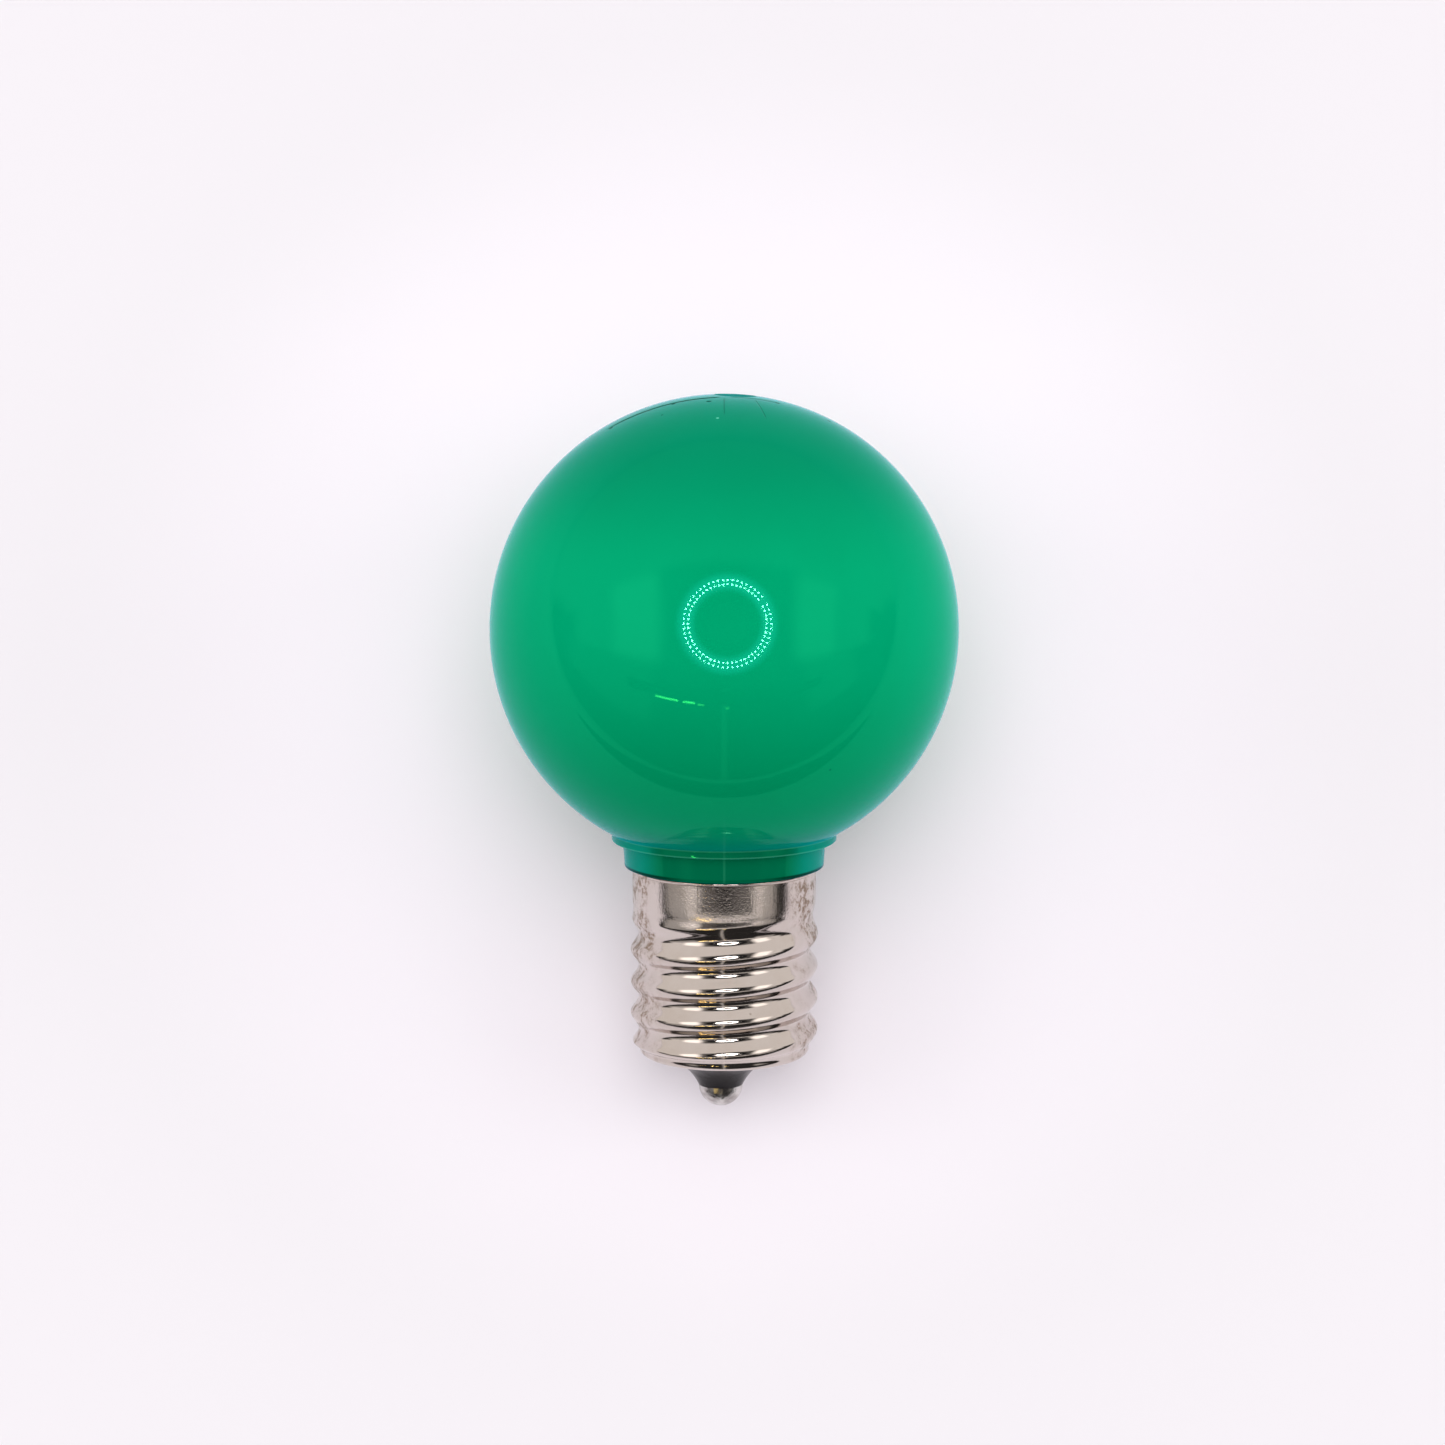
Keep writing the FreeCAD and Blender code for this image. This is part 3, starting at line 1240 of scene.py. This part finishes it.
@dataclass
class ScrewShell(BulbPiece):
    """Thin rolled cap: turned-in end, round thread that fades out at both ends, skirt and rim bead."""

    node: str = "screw_shell"
    slot: Slot = Slot.NICKEL
    smooth_angle: float = 50.0
    segments: int = 256
    rows_per_turn: int = 22
    bottom: float = 4.80 * MM
    mouth_radius: float = 5.40 * MM
    corner: float = 0.55 * MM
    end_radius: float = 7.45 * MM
    wall: float = 0.25 * MM
    skirt_radius: float = 8.00 * MM
    skirt_tuck: float = 0.06 * MM
    tuck_power: int = 9
    skirt_length: float = 3.53 * MM
    rim: float = 21.56 * MM
    bead_radius: float = 8.22 * MM
    bead_height: float = 0.44 * MM
    pitch: float = INCH / 9
    first_groove: float = 5.64 * MM
    last_groove: tuple = (3.55, 4.32)
    crest_radius: float = 8.18 * MM
    root_radius: float = 7.49 * MM
    start_fade: float = 0.80 * MM
    end_fade: float = 2.60 * MM
    skirt_rows: int = 16
    corner_rows: int = 8
    bead_rows: int = 6

    @property
    def thread_bottom(self) -> float:
        """Height at which the rolled part begins."""
        return self.bottom + self.corner

    @property
    def thread_top(self) -> float:
        """Height at which the skirt begins."""
        return self.rim - self.skirt_length

    def skirt_face(self, height: float) -> float:
        """Radius of the skirt's outer face, which tucks in a trace towards the thread.

        Args:
            height: height on the upright bulb.

        Returns:
            The radius there.
        """
        share = max((self.rim - height) / self.skirt_length, 0.0)
        return self.skirt_radius - self.skirt_tuck * min(share, 1.0) ** self.tuck_power

    @staticmethod
    def _share(value: float) -> float:
        """Smooth step.

        Args:
            value: how far the step has come, from 0 to 1.

        Returns:
            The smoothed share.
        """
        share = min(max(value, 0.0), 1.0)
        return share * share * (3.0 - 2.0 * share)

    def thread_radius(self, height: float, turn: float) -> float:
        """Radius of the thread's outer face.

        Args:
            height: height on the upright bulb.
            turn: angle about the axis, in radians.

        Returns:
            The radius there.
        """
        turned = turn / (2 * math.pi) % 1.0
        phase = (height - self.first_groove) / self.pitch - turned
        groove = math.floor(phase + 0.5)
        start, end = self.last_groove
        kept = 1.0 - self._share((groove + turned - start) / (end - start))
        depth = (self.crest_radius - self.root_radius) * (1.0 + math.cos(2 * math.pi * phase)) / 2
        crest = self.skirt_face(height)
        crest += (self.crest_radius - crest) * self._share((self.thread_top - height) / self.end_fade)
        rolled = crest - depth * kept
        return self.end_radius + (rolled - self.end_radius) * self._share(
            (height - self.thread_bottom) / self.start_fade)

    def _outline(self) -> list[tuple[float, float]]:
        """Lists radii and heights of the cap's outer face, before the thread is rolled.

        Returns:
            The points, from the mouth to the rim.
        """
        flat = self.end_radius - self.corner
        points = [(flat, self.bottom)]
        for i in range(1, self.corner_rows + 1):
            turn = math.pi / 2 * i / self.corner_rows
            height = self.thread_bottom - self.corner * math.cos(turn)
            points.append((flat + self.corner * math.sin(turn), height))
        rise = self.thread_top - self.thread_bottom
        rows = round(rise / self.pitch * self.rows_per_turn)
        for i in range(1, rows + 1):
            points.append((self.skirt_radius, self.thread_bottom + rise * i / rows))
        start = self.rim - self.bead_height
        for i in range(1, self.skirt_rows + 1):
            height = self.thread_top + (start - self.thread_top) * i / self.skirt_rows
            points.append((self.skirt_face(height), height))
        rise = self.bead_radius - self.skirt_radius
        for i in range(1, self.bead_rows + 1):
            share = i / self.bead_rows
            radius = self.skirt_radius + rise * math.sin(math.pi * share)
            points.append((radius, start + self.bead_height * share))
        return points

    def build(self) -> bpy.types.Object:
        """Draws the cap's face from mouth to rim, rolls the thread into it, and gives it its wall.

        Returns:
            The piece, upright.
        """
        start = (self.mouth_radius, self.bottom)
        piece = Bench.ring("bulb_screw_cap", *start, self.segments)
        Bench.draw_on(self._outline(), start)
        Bench.tidy_normals()
        self._roll_thread(piece)
        Bench.modify(piece, "SOLIDIFY", thickness=self.wall, offset=-1.0, use_rim=True)
        Bench.smooth(piece, self.smooth_angle)
        return piece

    def _roll_thread(self, piece: bpy.types.Object) -> None:
        """Moves the rows between the corner and the skirt to the thread's radius.

        Args:
            piece: the cap.
        """
        low, high = self.thread_bottom - Bench.TOUCH, self.thread_top + Bench.TOUCH
        for vertex in piece.data.vertices:
            place = vertex.co
            if low < place.z < high:
                radius = self.thread_radius(place.z, math.atan2(place.y, place.x))
                share = radius / math.hypot(place.x, place.y)
                vertex.co = (place.x * share, place.y * share, place.z)

    def finish(self) -> Finish:
        """Bright nickel."""
        return NickelPlate("nickel_cap", self.datum)


@dataclass
class Insulator(BulbPiece):
    """Black glass button: a plug in the cap and a nose that narrows in a hollow curve."""

    node: str = "insulator"
    slot: Slot = Slot.GLASS
    segments: int = 128
    nose_waist_radius: float = 2.80 * MM
    nose_waist_length: float = 1.25 * MM
    nose_base_radius: float = 4.90 * MM
    nose_length: float = 2.62 * MM
    mouth_radius: float = 5.38 * MM
    plug_radius: float = 6.90 * MM
    plug_depth: float = 2.2 * MM
    lip: float = 0.49 * MM
    nose_rows: int = 16

    def _flare(self) -> list[tuple[float, float]]:
        """Lists radii and heights of the hollow curve, on the circle through its three sizes.

        Returns:
            The points, from the contact to the cap.
        """
        first = Vector((self.datum.contact_radius, self.datum.contact_height))
        second = Vector((self.nose_waist_radius, self.datum.contact_height + self.nose_waist_length))
        third = Vector((self.nose_base_radius, self.datum.contact_height + self.nose_length))
        centre = self._centre(first, second, third)
        start = math.atan2(first.y - centre.y, first.x - centre.x)
        end = math.atan2(third.y - centre.y, third.x - centre.x)
        sweep = (end - start) % (2 * math.pi)
        if sweep > math.pi:
            sweep -= 2 * math.pi
        radius = (first - centre).length
        points = []
        for i in range(1, self.nose_rows + 1):
            turn = start + sweep * i / self.nose_rows
            points.append((centre.x + radius * math.cos(turn), centre.y + radius * math.sin(turn)))
        return points

    @staticmethod
    def _centre(first: Vector, second: Vector, third: Vector) -> Vector:
        """Finds the circle through three points of a plane.

        Args:
            first: a point.
            second: a point.
            third: a point.

        Returns:
            The circle's centre.
        """
        a, b = second - first, third - first
        cross = 2 * (a.x * b.y - a.y * b.x)
        x = (b.y * a.length_squared - a.y * b.length_squared) / cross
        y = (a.x * b.length_squared - b.x * a.length_squared) / cross
        return first + Vector((x, y))

    def build(self) -> bpy.types.Object:
        """Draws the nose from the contact up to the mouth of the cap, and the plug behind it.

        Returns:
            The piece, upright.
        """
        start = (self.datum.contact_radius, self.datum.contact_height)
        piece = Bench.ring("bulb_insulator", *start, self.segments)
        bpy.ops.transform.translate(value=(-self.datum.contact_offset, 0.0, 0.0))
        flare = self._flare()
        Bench.draw_on(flare, start, -self.datum.contact_offset)
        mouth = self.datum.contact_height + self.nose_length
        floor = mouth + self.lip
        bpy.ops.transform.translate(value=(self.datum.contact_offset, 0.0, 0.0))
        Bench.draw_on([
            (self.mouth_radius, mouth),
            (self.mouth_radius, floor),
            (self.plug_radius, floor),
            (self.plug_radius, floor + self.plug_depth),
        ], flare[-1])
        Bench.close()
        bpy.ops.object.mode_set(mode="OBJECT")
        self._close_tip(piece)
        Bench.smooth(piece, self.smooth_angle)
        return piece

    def _close_tip(self, piece: bpy.types.Object) -> None:
        """Closes the end that the contact covers.

        Args:
            piece: the insulator.
        """
        for vertex in piece.data.vertices:
            vertex.select = abs(vertex.co.z - self.datum.contact_height) < Bench.TOUCH
        bpy.ops.object.mode_set(mode="EDIT")
        Bench.close()
        Bench.tidy_normals()

    def finish(self) -> Finish:
        """Black glass."""
        return BlackGlass("black_glass_button", self.datum)


@dataclass
class CentreContact(BulbPiece):
    """Domed contact on the tip, with its shank hidden in the insulator."""

    node: str = "centre_contact"
    slot: Slot = Slot.TIN
    segments: int = 96
    band: float = 0.40 * MM
    bevel: float = 0.05 * MM
    shank_radius: float = 0.80 * MM
    shank_length: float = 2.6 * MM
    dome_rows: int = 20

    def build(self) -> bpy.types.Object:
        """Draws the dome from its pole, then the band and the shank.

        Returns:
            The piece, upright.
        """
        edge_radius = self.datum.contact_radius - self.bevel
        edge_height = self.datum.contact_height - self.band
        dome = (edge_radius ** 2 + edge_height ** 2) / (2 * edge_height)
        last = math.acos((dome - edge_height) / dome)
        outline = []
        for i in range(1, self.dome_rows + 1):
            turn = last * i / self.dome_rows
            outline.append((dome * math.sin(turn), dome - dome * math.cos(turn)))
        piece = Bench.ring("bulb_centre_contact", *outline[0], self.segments)
        bpy.ops.transform.translate(value=(-self.datum.contact_offset, 0.0, 0.0))
        Bench.close()
        bpy.ops.mesh.poke()
        bpy.ops.object.mode_set(mode="OBJECT")
        for vertex in piece.data.vertices:
            middle = math.hypot(vertex.co.x + self.datum.contact_offset, vertex.co.y) < outline[0][0] / 2
            vertex.select = not middle
            if middle:
                vertex.co.z = 0.0
        bpy.ops.object.mode_set(mode="EDIT")
        bpy.ops.mesh.select_mode(type="EDGE")
        bpy.ops.mesh.select_non_manifold(extend=False)
        Bench.draw_on(outline[1:] + [
            (self.datum.contact_radius, self.datum.contact_height),
            (self.shank_radius, self.datum.contact_height),
            (self.shank_radius, self.datum.contact_height + self.shank_length),
        ], outline[0], -self.datum.contact_offset)
        Bench.close()
        Bench.tidy_normals()
        Bench.smooth(piece, self.smooth_angle)
        return piece

    def finish(self) -> Finish:
        """Bright tin."""
        return TinnedMetal("tinned_contact", self.datum)


@dataclass
class PhotoCamera:
    """Camera at the photograph's place, fitted to the outline of the bulb."""

    datum: BulbDatum
    image_px: float = 1445.0
    focal_px: float = 3706.0
    globe_x_px: float = 724.2
    globe_y_px: float = 629.0
    distance: float = 320.0 * MM
    axis_tilt: float = 8.86
    sensor: float = 36.0
    clip: tuple = (0.01, 50.0)

    @property
    def lean(self) -> float:
        """Angle from straight down at which the camera looks, in radians."""
        slope = math.atan2(self.datum.direction.z, self.datum.direction.y)
        return slope - math.radians(self.axis_tilt)

    @property
    def towards(self) -> Vector:
        """Direction from the bulb to the camera."""
        return Vector((0.0, -math.sin(self.lean), math.cos(self.lean)))

    @property
    def up(self) -> Vector:
        """Direction that the photo shows as up."""
        return self.towards.cross(ACROSS)

    def facing(self, place: Vector) -> Matrix:
        """Lays out a flat thing square to the camera's view.

        Args:
            place: where its middle goes.

        Returns:
            The thing's matrix.
        """
        return Matrix.Translation(place) @ Matrix.Rotation(self.lean, 4, "X")

    def place(self) -> bpy.types.Object:
        """Makes the camera and sets it as the scene's.

        Returns:
            The camera.
        """
        middle = self.image_px / 2
        right_offset = (self.globe_x_px - middle) / self.focal_px * self.distance
        up_offset = (middle - self.globe_y_px) / self.focal_px * self.distance
        eye = self.datum.globe_centre + self.towards * self.distance
        eye -= ACROSS * right_offset + self.up * up_offset
        data = bpy.data.cameras.new("photo_camera")
        data.sensor_width = self.sensor
        data.sensor_height = self.sensor
        data.lens = self.focal_px / self.image_px * self.sensor
        data.clip_start, data.clip_end = self.clip
        camera = bpy.data.objects.new("photo_camera", data)
        camera.matrix_world = self.facing(eye)
        bpy.context.scene.collection.objects.link(camera)
        bpy.context.scene.camera = camera
        return camera


@dataclass(frozen=True)
class Panel:
    """Bright area of the surroundings, placed by two angles in degrees from the camera's side.

    The first runs across to the right, the second up towards the globe's end.
    """

    name: str
    across: tuple
    up: tuple
    soft: float
    level: float

    def glow(self, across: Signal, up: Signal) -> Signal:
        """Light of the area.

        Args:
            across: angle across, in degrees.
            up: angle up, in degrees.

        Returns:
            Its level inside and 0 outside, with soft edges.
        """
        light = across.within(*self.across, self.soft) * up.within(*self.up, self.soft) * self.level
        light.socket.node.label = self.name
        return light


@dataclass(frozen=True)
class Softbox:
    """Soft rectangular lamp that faces the bulb: place and size in metres, power in watts."""

    name: str
    place: tuple
    size: tuple
    power: float

    def hang(self, aim: Vector) -> bpy.types.Object:
        """Makes the lamp.

        Args:
            aim: the place that it faces.

        Returns:
            The lamp.
        """
        data = bpy.data.lights.new(self.name, "AREA")
        data.shape = "RECTANGLE"
        data.size, data.size_y = self.size
        data.energy = self.power
        lamp = bpy.data.objects.new(self.name, data)
        lamp.location = self.place
        lamp.rotation_euler = (aim - Vector(self.place)).to_track_quat("-Z", "Y").to_euler()
        lamp.visible_camera = False
        lamp.visible_glossy = False
        bpy.context.scene.collection.objects.link(lamp)
        return lamp


@dataclass
class Studio:
    """Pale floor and soft light round the bulb, with the dotted ring lamp that its gloss shows."""

    datum: BulbDatum
    camera: PhotoCamera
    pieces: list
    floor_size: float = 6.0
    floor_colour: tuple = rgb(0.862, 0.838, 0.862)
    floor_roughness: float = 0.9
    # Paler colour round the bulb: painted light that lightens its shadow on the floor.
    near_light_colour: tuple = rgb(0.988, 0.935, 0.988)
    near_light_radius: float = 68.0
    background: tuple = rgb(0.955, 0.93, 0.965)
    even_colour: tuple = rgb(1.0, 0.965, 0.995)
    even_level: float = 0.765
    dark_level: float = 0.025
    box_tint: tuple = (1.0, 0.96, 0.92)
    panels: tuple = (
        Panel("left panel", (-56.0, -30.5), (-19.0, 30.0), 11.0, 1.9),
        Panel("left panel's edge", (-76.0, -58.0), (-19.0, 31.0), 9.0, 0.9),
        Panel("right panel", (34.0, 56.0), (-19.0, 30.0), 11.0, 1.8),
        Panel("right panel's edge", (58.0, 74.0), (-19.0, 31.0), 9.0, 0.9),
        Panel("left panel's foot", (-78.0, -33.0), (-55.0, -20.0), 9.0, 0.42),
        Panel("right panel's foot", (38.0, 64.0), (-50.0, -20.0), 7.0, 0.45),
        Panel("back sheet", (-80.0, 80.0), (31.0, 120.0), 8.0, 0.88),
        Panel("roof round the opening", (-28.0, 28.0), (-30.0, 31.0), 6.0, 0.10),
        Panel("edge of the front", (-1.2, 1.2), (-84.0, -30.0), 1.4, 0.55),
    )
    strips: tuple = (
        Panel("warm strip", (-31.5, -21.0), (-38.3, -37.3), 0.6, 1.0),
        Panel("warm strip's middle", (-18.8, -13.2), (-38.4, -37.5), 0.6, 1.0),
        Panel("warm strip's end", (-12.0, -9.0), (-38.9, -38.2), 0.6, 0.5),
        Panel("far piece of the strip", (0.6, 2.2), (-40.2, -39.2), 0.8, 0.25),
    )
    strip_colour: tuple = rgb(1.0, 0.74, 0.25)
    strip_level: float = 26.0
    softboxes: tuple = (
        Softbox("overhead_softbox", (0.0, 0.05, 0.75), (0.5, 0.5), 1.30),
        Softbox("left_softbox", (-0.60, 0.03, 0.36), (0.4, 0.4), 0.78),
        Softbox("right_softbox", (0.60, 0.03, 0.36), (0.4, 0.4), 0.78),
    )
    ring_radii: tuple = (108.1 * MM, 122.0 * MM)
    ring_distance: float = 330.0 * MM
    ring_right: float = 9.7 * MM
    ring_up: float = 6.4 * MM
    ring_sides: int = 96
    dots_per_row: int = 56
    dot_radius: float = 2.7 * MM
    dot_sides: int = 12
    gap_turn: float = 32.0
    ring_level: float = 80.0
    ring_colour: tuple = rgb(6.0, 1.0, 1.4)
    glow_radii: tuple = (82.0 * MM, 108.0 * MM, 122.0 * MM, 158.0 * MM)
    glow_setback: float = 4.0 * MM
    glow_level: float = 3.2
    glow_colour: tuple = (0.7, 1.0, 1.9)
    cap_lamp_radii: tuple = (58.0 * MM, 76.0 * MM)
    cap_lamp_colour: tuple = rgb(1.0, 1.0, 1.0)
    cap_lamp_level: float = 14.0
    sill_distance: float = 300.0 * MM
    sill_drop: float = 199.5 * MM
    sill_size: tuple = (720.0 * MM, 43.0 * MM)
    sill_colour: tuple = rgb(1.0, 0.96, 0.92)
    sill_level: float = 1.1
    foreground_size: tuple = (0.6, 0.5)
    foreground_start: float = 150.0 * MM
    foreground_lift: float = 0.2 * MM
    foreground_colour: tuple = rgb(1.0, 0.95, 0.9)

    def light(self) -> None:
        """Builds the floor, the surroundings and the lamps."""
        self._floor()
        self._world()
        self._ring_lamp()
        self._ring_glow()
        self._cap_lamp()
        self._sill()
        self._foreground()
        for softbox in self.softboxes:
            softbox.hang(self.datum.globe_centre)
        LOG.info("studio lit")

    def _floor(self) -> None:
        """Lays the pale floor, with painted light round the bulb that lightens its shadow."""
        floor = self._sheet("pale_floor", (self.floor_size, self.floor_size), Matrix())
        material, sheet = NodeSheet.of_material("pale_floor")
        # Painted light: the floor is paler round the bulb, lightening its shadow.
        near_light = sheet.spot(sheet.place(), Spot(*(self.datum.globe_centre / MM), self.near_light_radius))
        colour = sheet.blend(near_light, self.floor_colour, self.near_light_colour)
        inputs = {"Base Color": colour, "Roughness": self.floor_roughness, "IOR": 1.0}
        sheet.show(sheet.node("ShaderNodeBsdfPrincipled", None, inputs).outputs["BSDF"])
        floor.data.materials.append(material)

    def _world(self) -> None:
        """Surroundings: even light, a pale background, and in reflections the light box that stands round."""
        world = bpy.data.worlds.new("studio")
        bpy.context.scene.world = world
        world.use_nodes = True
        sheet = NodeSheet(world.node_tree)
        direction = sheet.node("ShaderNodeTexCoord").outputs["Generated"]
        across = sheet.along(direction, ACROSS).arc_sine()
        up = sheet.along(direction, self.camera.up).angle_from(sheet.along(direction, self.camera.towards))
        light = sum((panel.glow(across, up) for panel in self.panels), self.dark_level)
        strips = sum((strip.glow(across, up) for strip in self.strips), 0.0)
        kind = "ShaderNodeBackground"
        box = sheet.light(kind, sheet.scaled(self.box_tint, light), 1.0)
        mirrored = sheet.mix(strips, box, sheet.light(kind, self.strip_colour, self.strip_level))
        even = sheet.light(kind, self.even_colour, self.even_level)
        seen = sheet.light(kind, self.background, 1.0)
        path = sheet.node("ShaderNodeLightPath")
        unseen = sheet.mix(path.outputs["Is Glossy Ray"], even, mirrored)
        sheet.show(sheet.mix(path.outputs["Is Camera Ray"], unseen, seen), "ShaderNodeOutputWorld")

    @staticmethod
    def _glow(name: str, colour: tuple, level: float) -> bpy.types.Material:
        """Makes the material of a thing that shines in reflections.

        Args:
            name: its name.
            colour: its colour.
            level: its strength.

        Returns:
            The material.
        """
        material, sheet = NodeSheet.of_material(name)
        sheet.show(sheet.light("ShaderNodeEmission", colour, level))
        return material

    def _fading_glow(self, name: str, middle: Vector) -> bpy.types.Material:
        """Makes the material of the glow round the small lamps, which fades inwards and outwards.

        Args:
            name: its name.
            middle: centre of the ring lamp.

        Returns:
            The material.
        """
        material, sheet = NodeSheet.of_material(name)
        reach = sheet.distance(sheet.place(), middle)
        start, low, high, end = self.glow_radii
        share = reach.ramp(start, low) * reach.ramp(end, high)
        sheet.show(sheet.light("ShaderNodeEmission", sheet.scaled(self.glow_colour, share), self.glow_level))
        return material

    @staticmethod
    def _sheet(name: str, size: tuple, matrix: Matrix) -> bpy.types.Object:
        """Lays out a flat rectangle.

        Args:
            name: its name.
            size: its width and length.
            matrix: where it goes.

        Returns:
            The rectangle.
        """
        Bench.clear()
        bpy.ops.mesh.primitive_plane_add(size=1.0, location=ORIGIN)
        sheet = bpy.context.object
        sheet.name = name
        Bench.put(sheet, matrix @ Matrix.Diagonal((*size, 1.0, 1.0)))
        return sheet

    def _sheet_ring(self, name: str, inner: float, outer: float, middle: Vector) -> bpy.types.Object:
        """Lays out a flat ring that faces the camera's way.

        Args:
            name: its name.
            inner: its inner radius.
            outer: its outer radius.
            middle: its centre.

        Returns:
            The ring.
        """
        ring = Bench.ring(name, inner, 0.0, self.ring_sides)
        Bench.draw_on([(outer, 0.0)], (inner, 0.0))
        bpy.ops.object.mode_set(mode="OBJECT")
        Bench.put(ring, self.camera.facing(middle))
        return ring

    @property
    def _ring_middle(self) -> Vector:
        """Centre of the ring lamp."""
        middle = self.datum.globe_centre + self.camera.towards * self.ring_distance
        return middle + ACROSS * self.ring_right + self.camera.up * self.ring_up

    def _dot_places(self) -> list[Vector]:
        """Lists where the small lamps sit: two rows, with one place left empty in each.

        Returns:
            The places.
        """
        gap = math.radians(self.gap_turn)
        places = []
        for reach in self.ring_radii:
            for i in range(self.dots_per_row):
                turn = 2 * math.pi * i / self.dots_per_row
                if abs(turn - gap) >= math.pi / self.dots_per_row:
                    ray = ACROSS * math.cos(turn) + self.camera.up * math.sin(turn)
                    places.append(self._ring_middle + ray * reach)
        return places

    def _ring_lamp(self) -> None:
        """Two rows of small lamps round the camera, which only the globe's gloss shows."""
        Bench.clear()
        bpy.ops.mesh.primitive_circle_add(
            vertices=self.dot_sides, radius=self.dot_radius, fill_type="NGON", location=ORIGIN)
        dot = bpy.context.object
        copies = []
        for place in self._dot_places():
            copy = bpy.data.objects.new("ring_lamp_dot", dot.data.copy())
            copy.matrix_world = self.camera.facing(place)
            bpy.context.scene.collection.objects.link(copy)
            copies.append(copy)
        Bench.clear()
        for copy in copies:
            copy.select_set(True)
        bpy.context.view_layer.objects.active = copies[0]
        bpy.ops.object.join()
        lamp = bpy.context.object
        lamp.name = "ring_lamp"
        bpy.ops.object.transform_apply(location=True, rotation=True, scale=True)
        glow = self._glow("ring_lamp_glow", self.ring_colour, self.ring_level)
        self._only_mirrored(lamp, glow, self.pieces[:1])
        bpy.data.objects.remove(dot)

    def _ring_glow(self) -> None:
        """Faint glow round the small lamps."""
        middle = self._ring_middle + self.camera.towards * self.glow_setback
        glow = self._sheet_ring("ring_glow", self.glow_radii[0], self.glow_radii[-1], middle)
        self._only_mirrored(glow, self._fading_glow("ring_glow", middle), self.pieces[:1])

    def _cap_lamp(self) -> None:
        """The same ring lamp as the metal shows it: one weaker ring."""
        lamp = self._sheet_ring("cap_ring_lamp", *self.cap_lamp_radii, self._ring_middle)
        glow = self._glow("cap_ring_lamp", self.cap_lamp_colour, self.cap_lamp_level)
        self._only_mirrored(lamp, glow, self.pieces[1:])

    def _sill(self) -> None:
        """Pale front edge of the light box, which the cap shows as thin bright lines."""
        middle = self.datum.globe_centre + self.camera.towards * self.sill_distance
        middle -= self.camera.up * self.sill_drop
        sill = self._sheet("front_sill", self.sill_size, self.camera.facing(middle))
        glow = self._glow("front_sill", self.sill_colour, self.sill_level)
        self._only_mirrored(sill, glow, self.pieces[1:2])

    def _foreground(self) -> None:
        """Dark sheet in front of the bulb, which the cap's grooves mirror."""
        middle = Vector((0.0, -(self.foreground_start + self.foreground_size[1] / 2), self.foreground_lift))
        sheet = self._sheet("dark_foreground", self.foreground_size, Matrix.Translation(middle))
        self._only_mirrored(sheet, self._glow("dark_foreground", self.foreground_colour, self.dark_level))

    @staticmethod
    def _only_mirrored(thing: bpy.types.Object, glow: bpy.types.Material, pieces: list | None = None) -> None:
        """Dresses a part of the studio that shows in reflections alone.

        Args:
            thing: the part.
            glow: its material.
            pieces: the pieces that it lights, or None for all.
        """
        thing.data.materials.append(glow)
        thing.visible_camera = False
        thing.visible_diffuse = False
        thing.visible_shadow = False
        if pieces is not None:
            lit = bpy.data.collections.new(thing.name + "_lights")
            for piece in pieces:
                lit.objects.link(piece)
            thing.light_linking.receiver_collection = lit


def main() -> None:
    """Builds the bulb piece by piece, then the studio and the camera."""
    logging.basicConfig(level=logging.INFO, format="%(name)s: %(message)s")
    bpy.context.scene.view_settings.view_transform = "Standard"
    datum = BulbDatum.from_record(frame["record"])
    camera = PhotoCamera(datum)
    camera.place()
    pieces = [kind(datum).place() for kind in (Globe, ScrewShell, Insulator, CentreContact)]
    Studio(datum, camera, pieces).light()


if __name__ == "__main__":
    main()
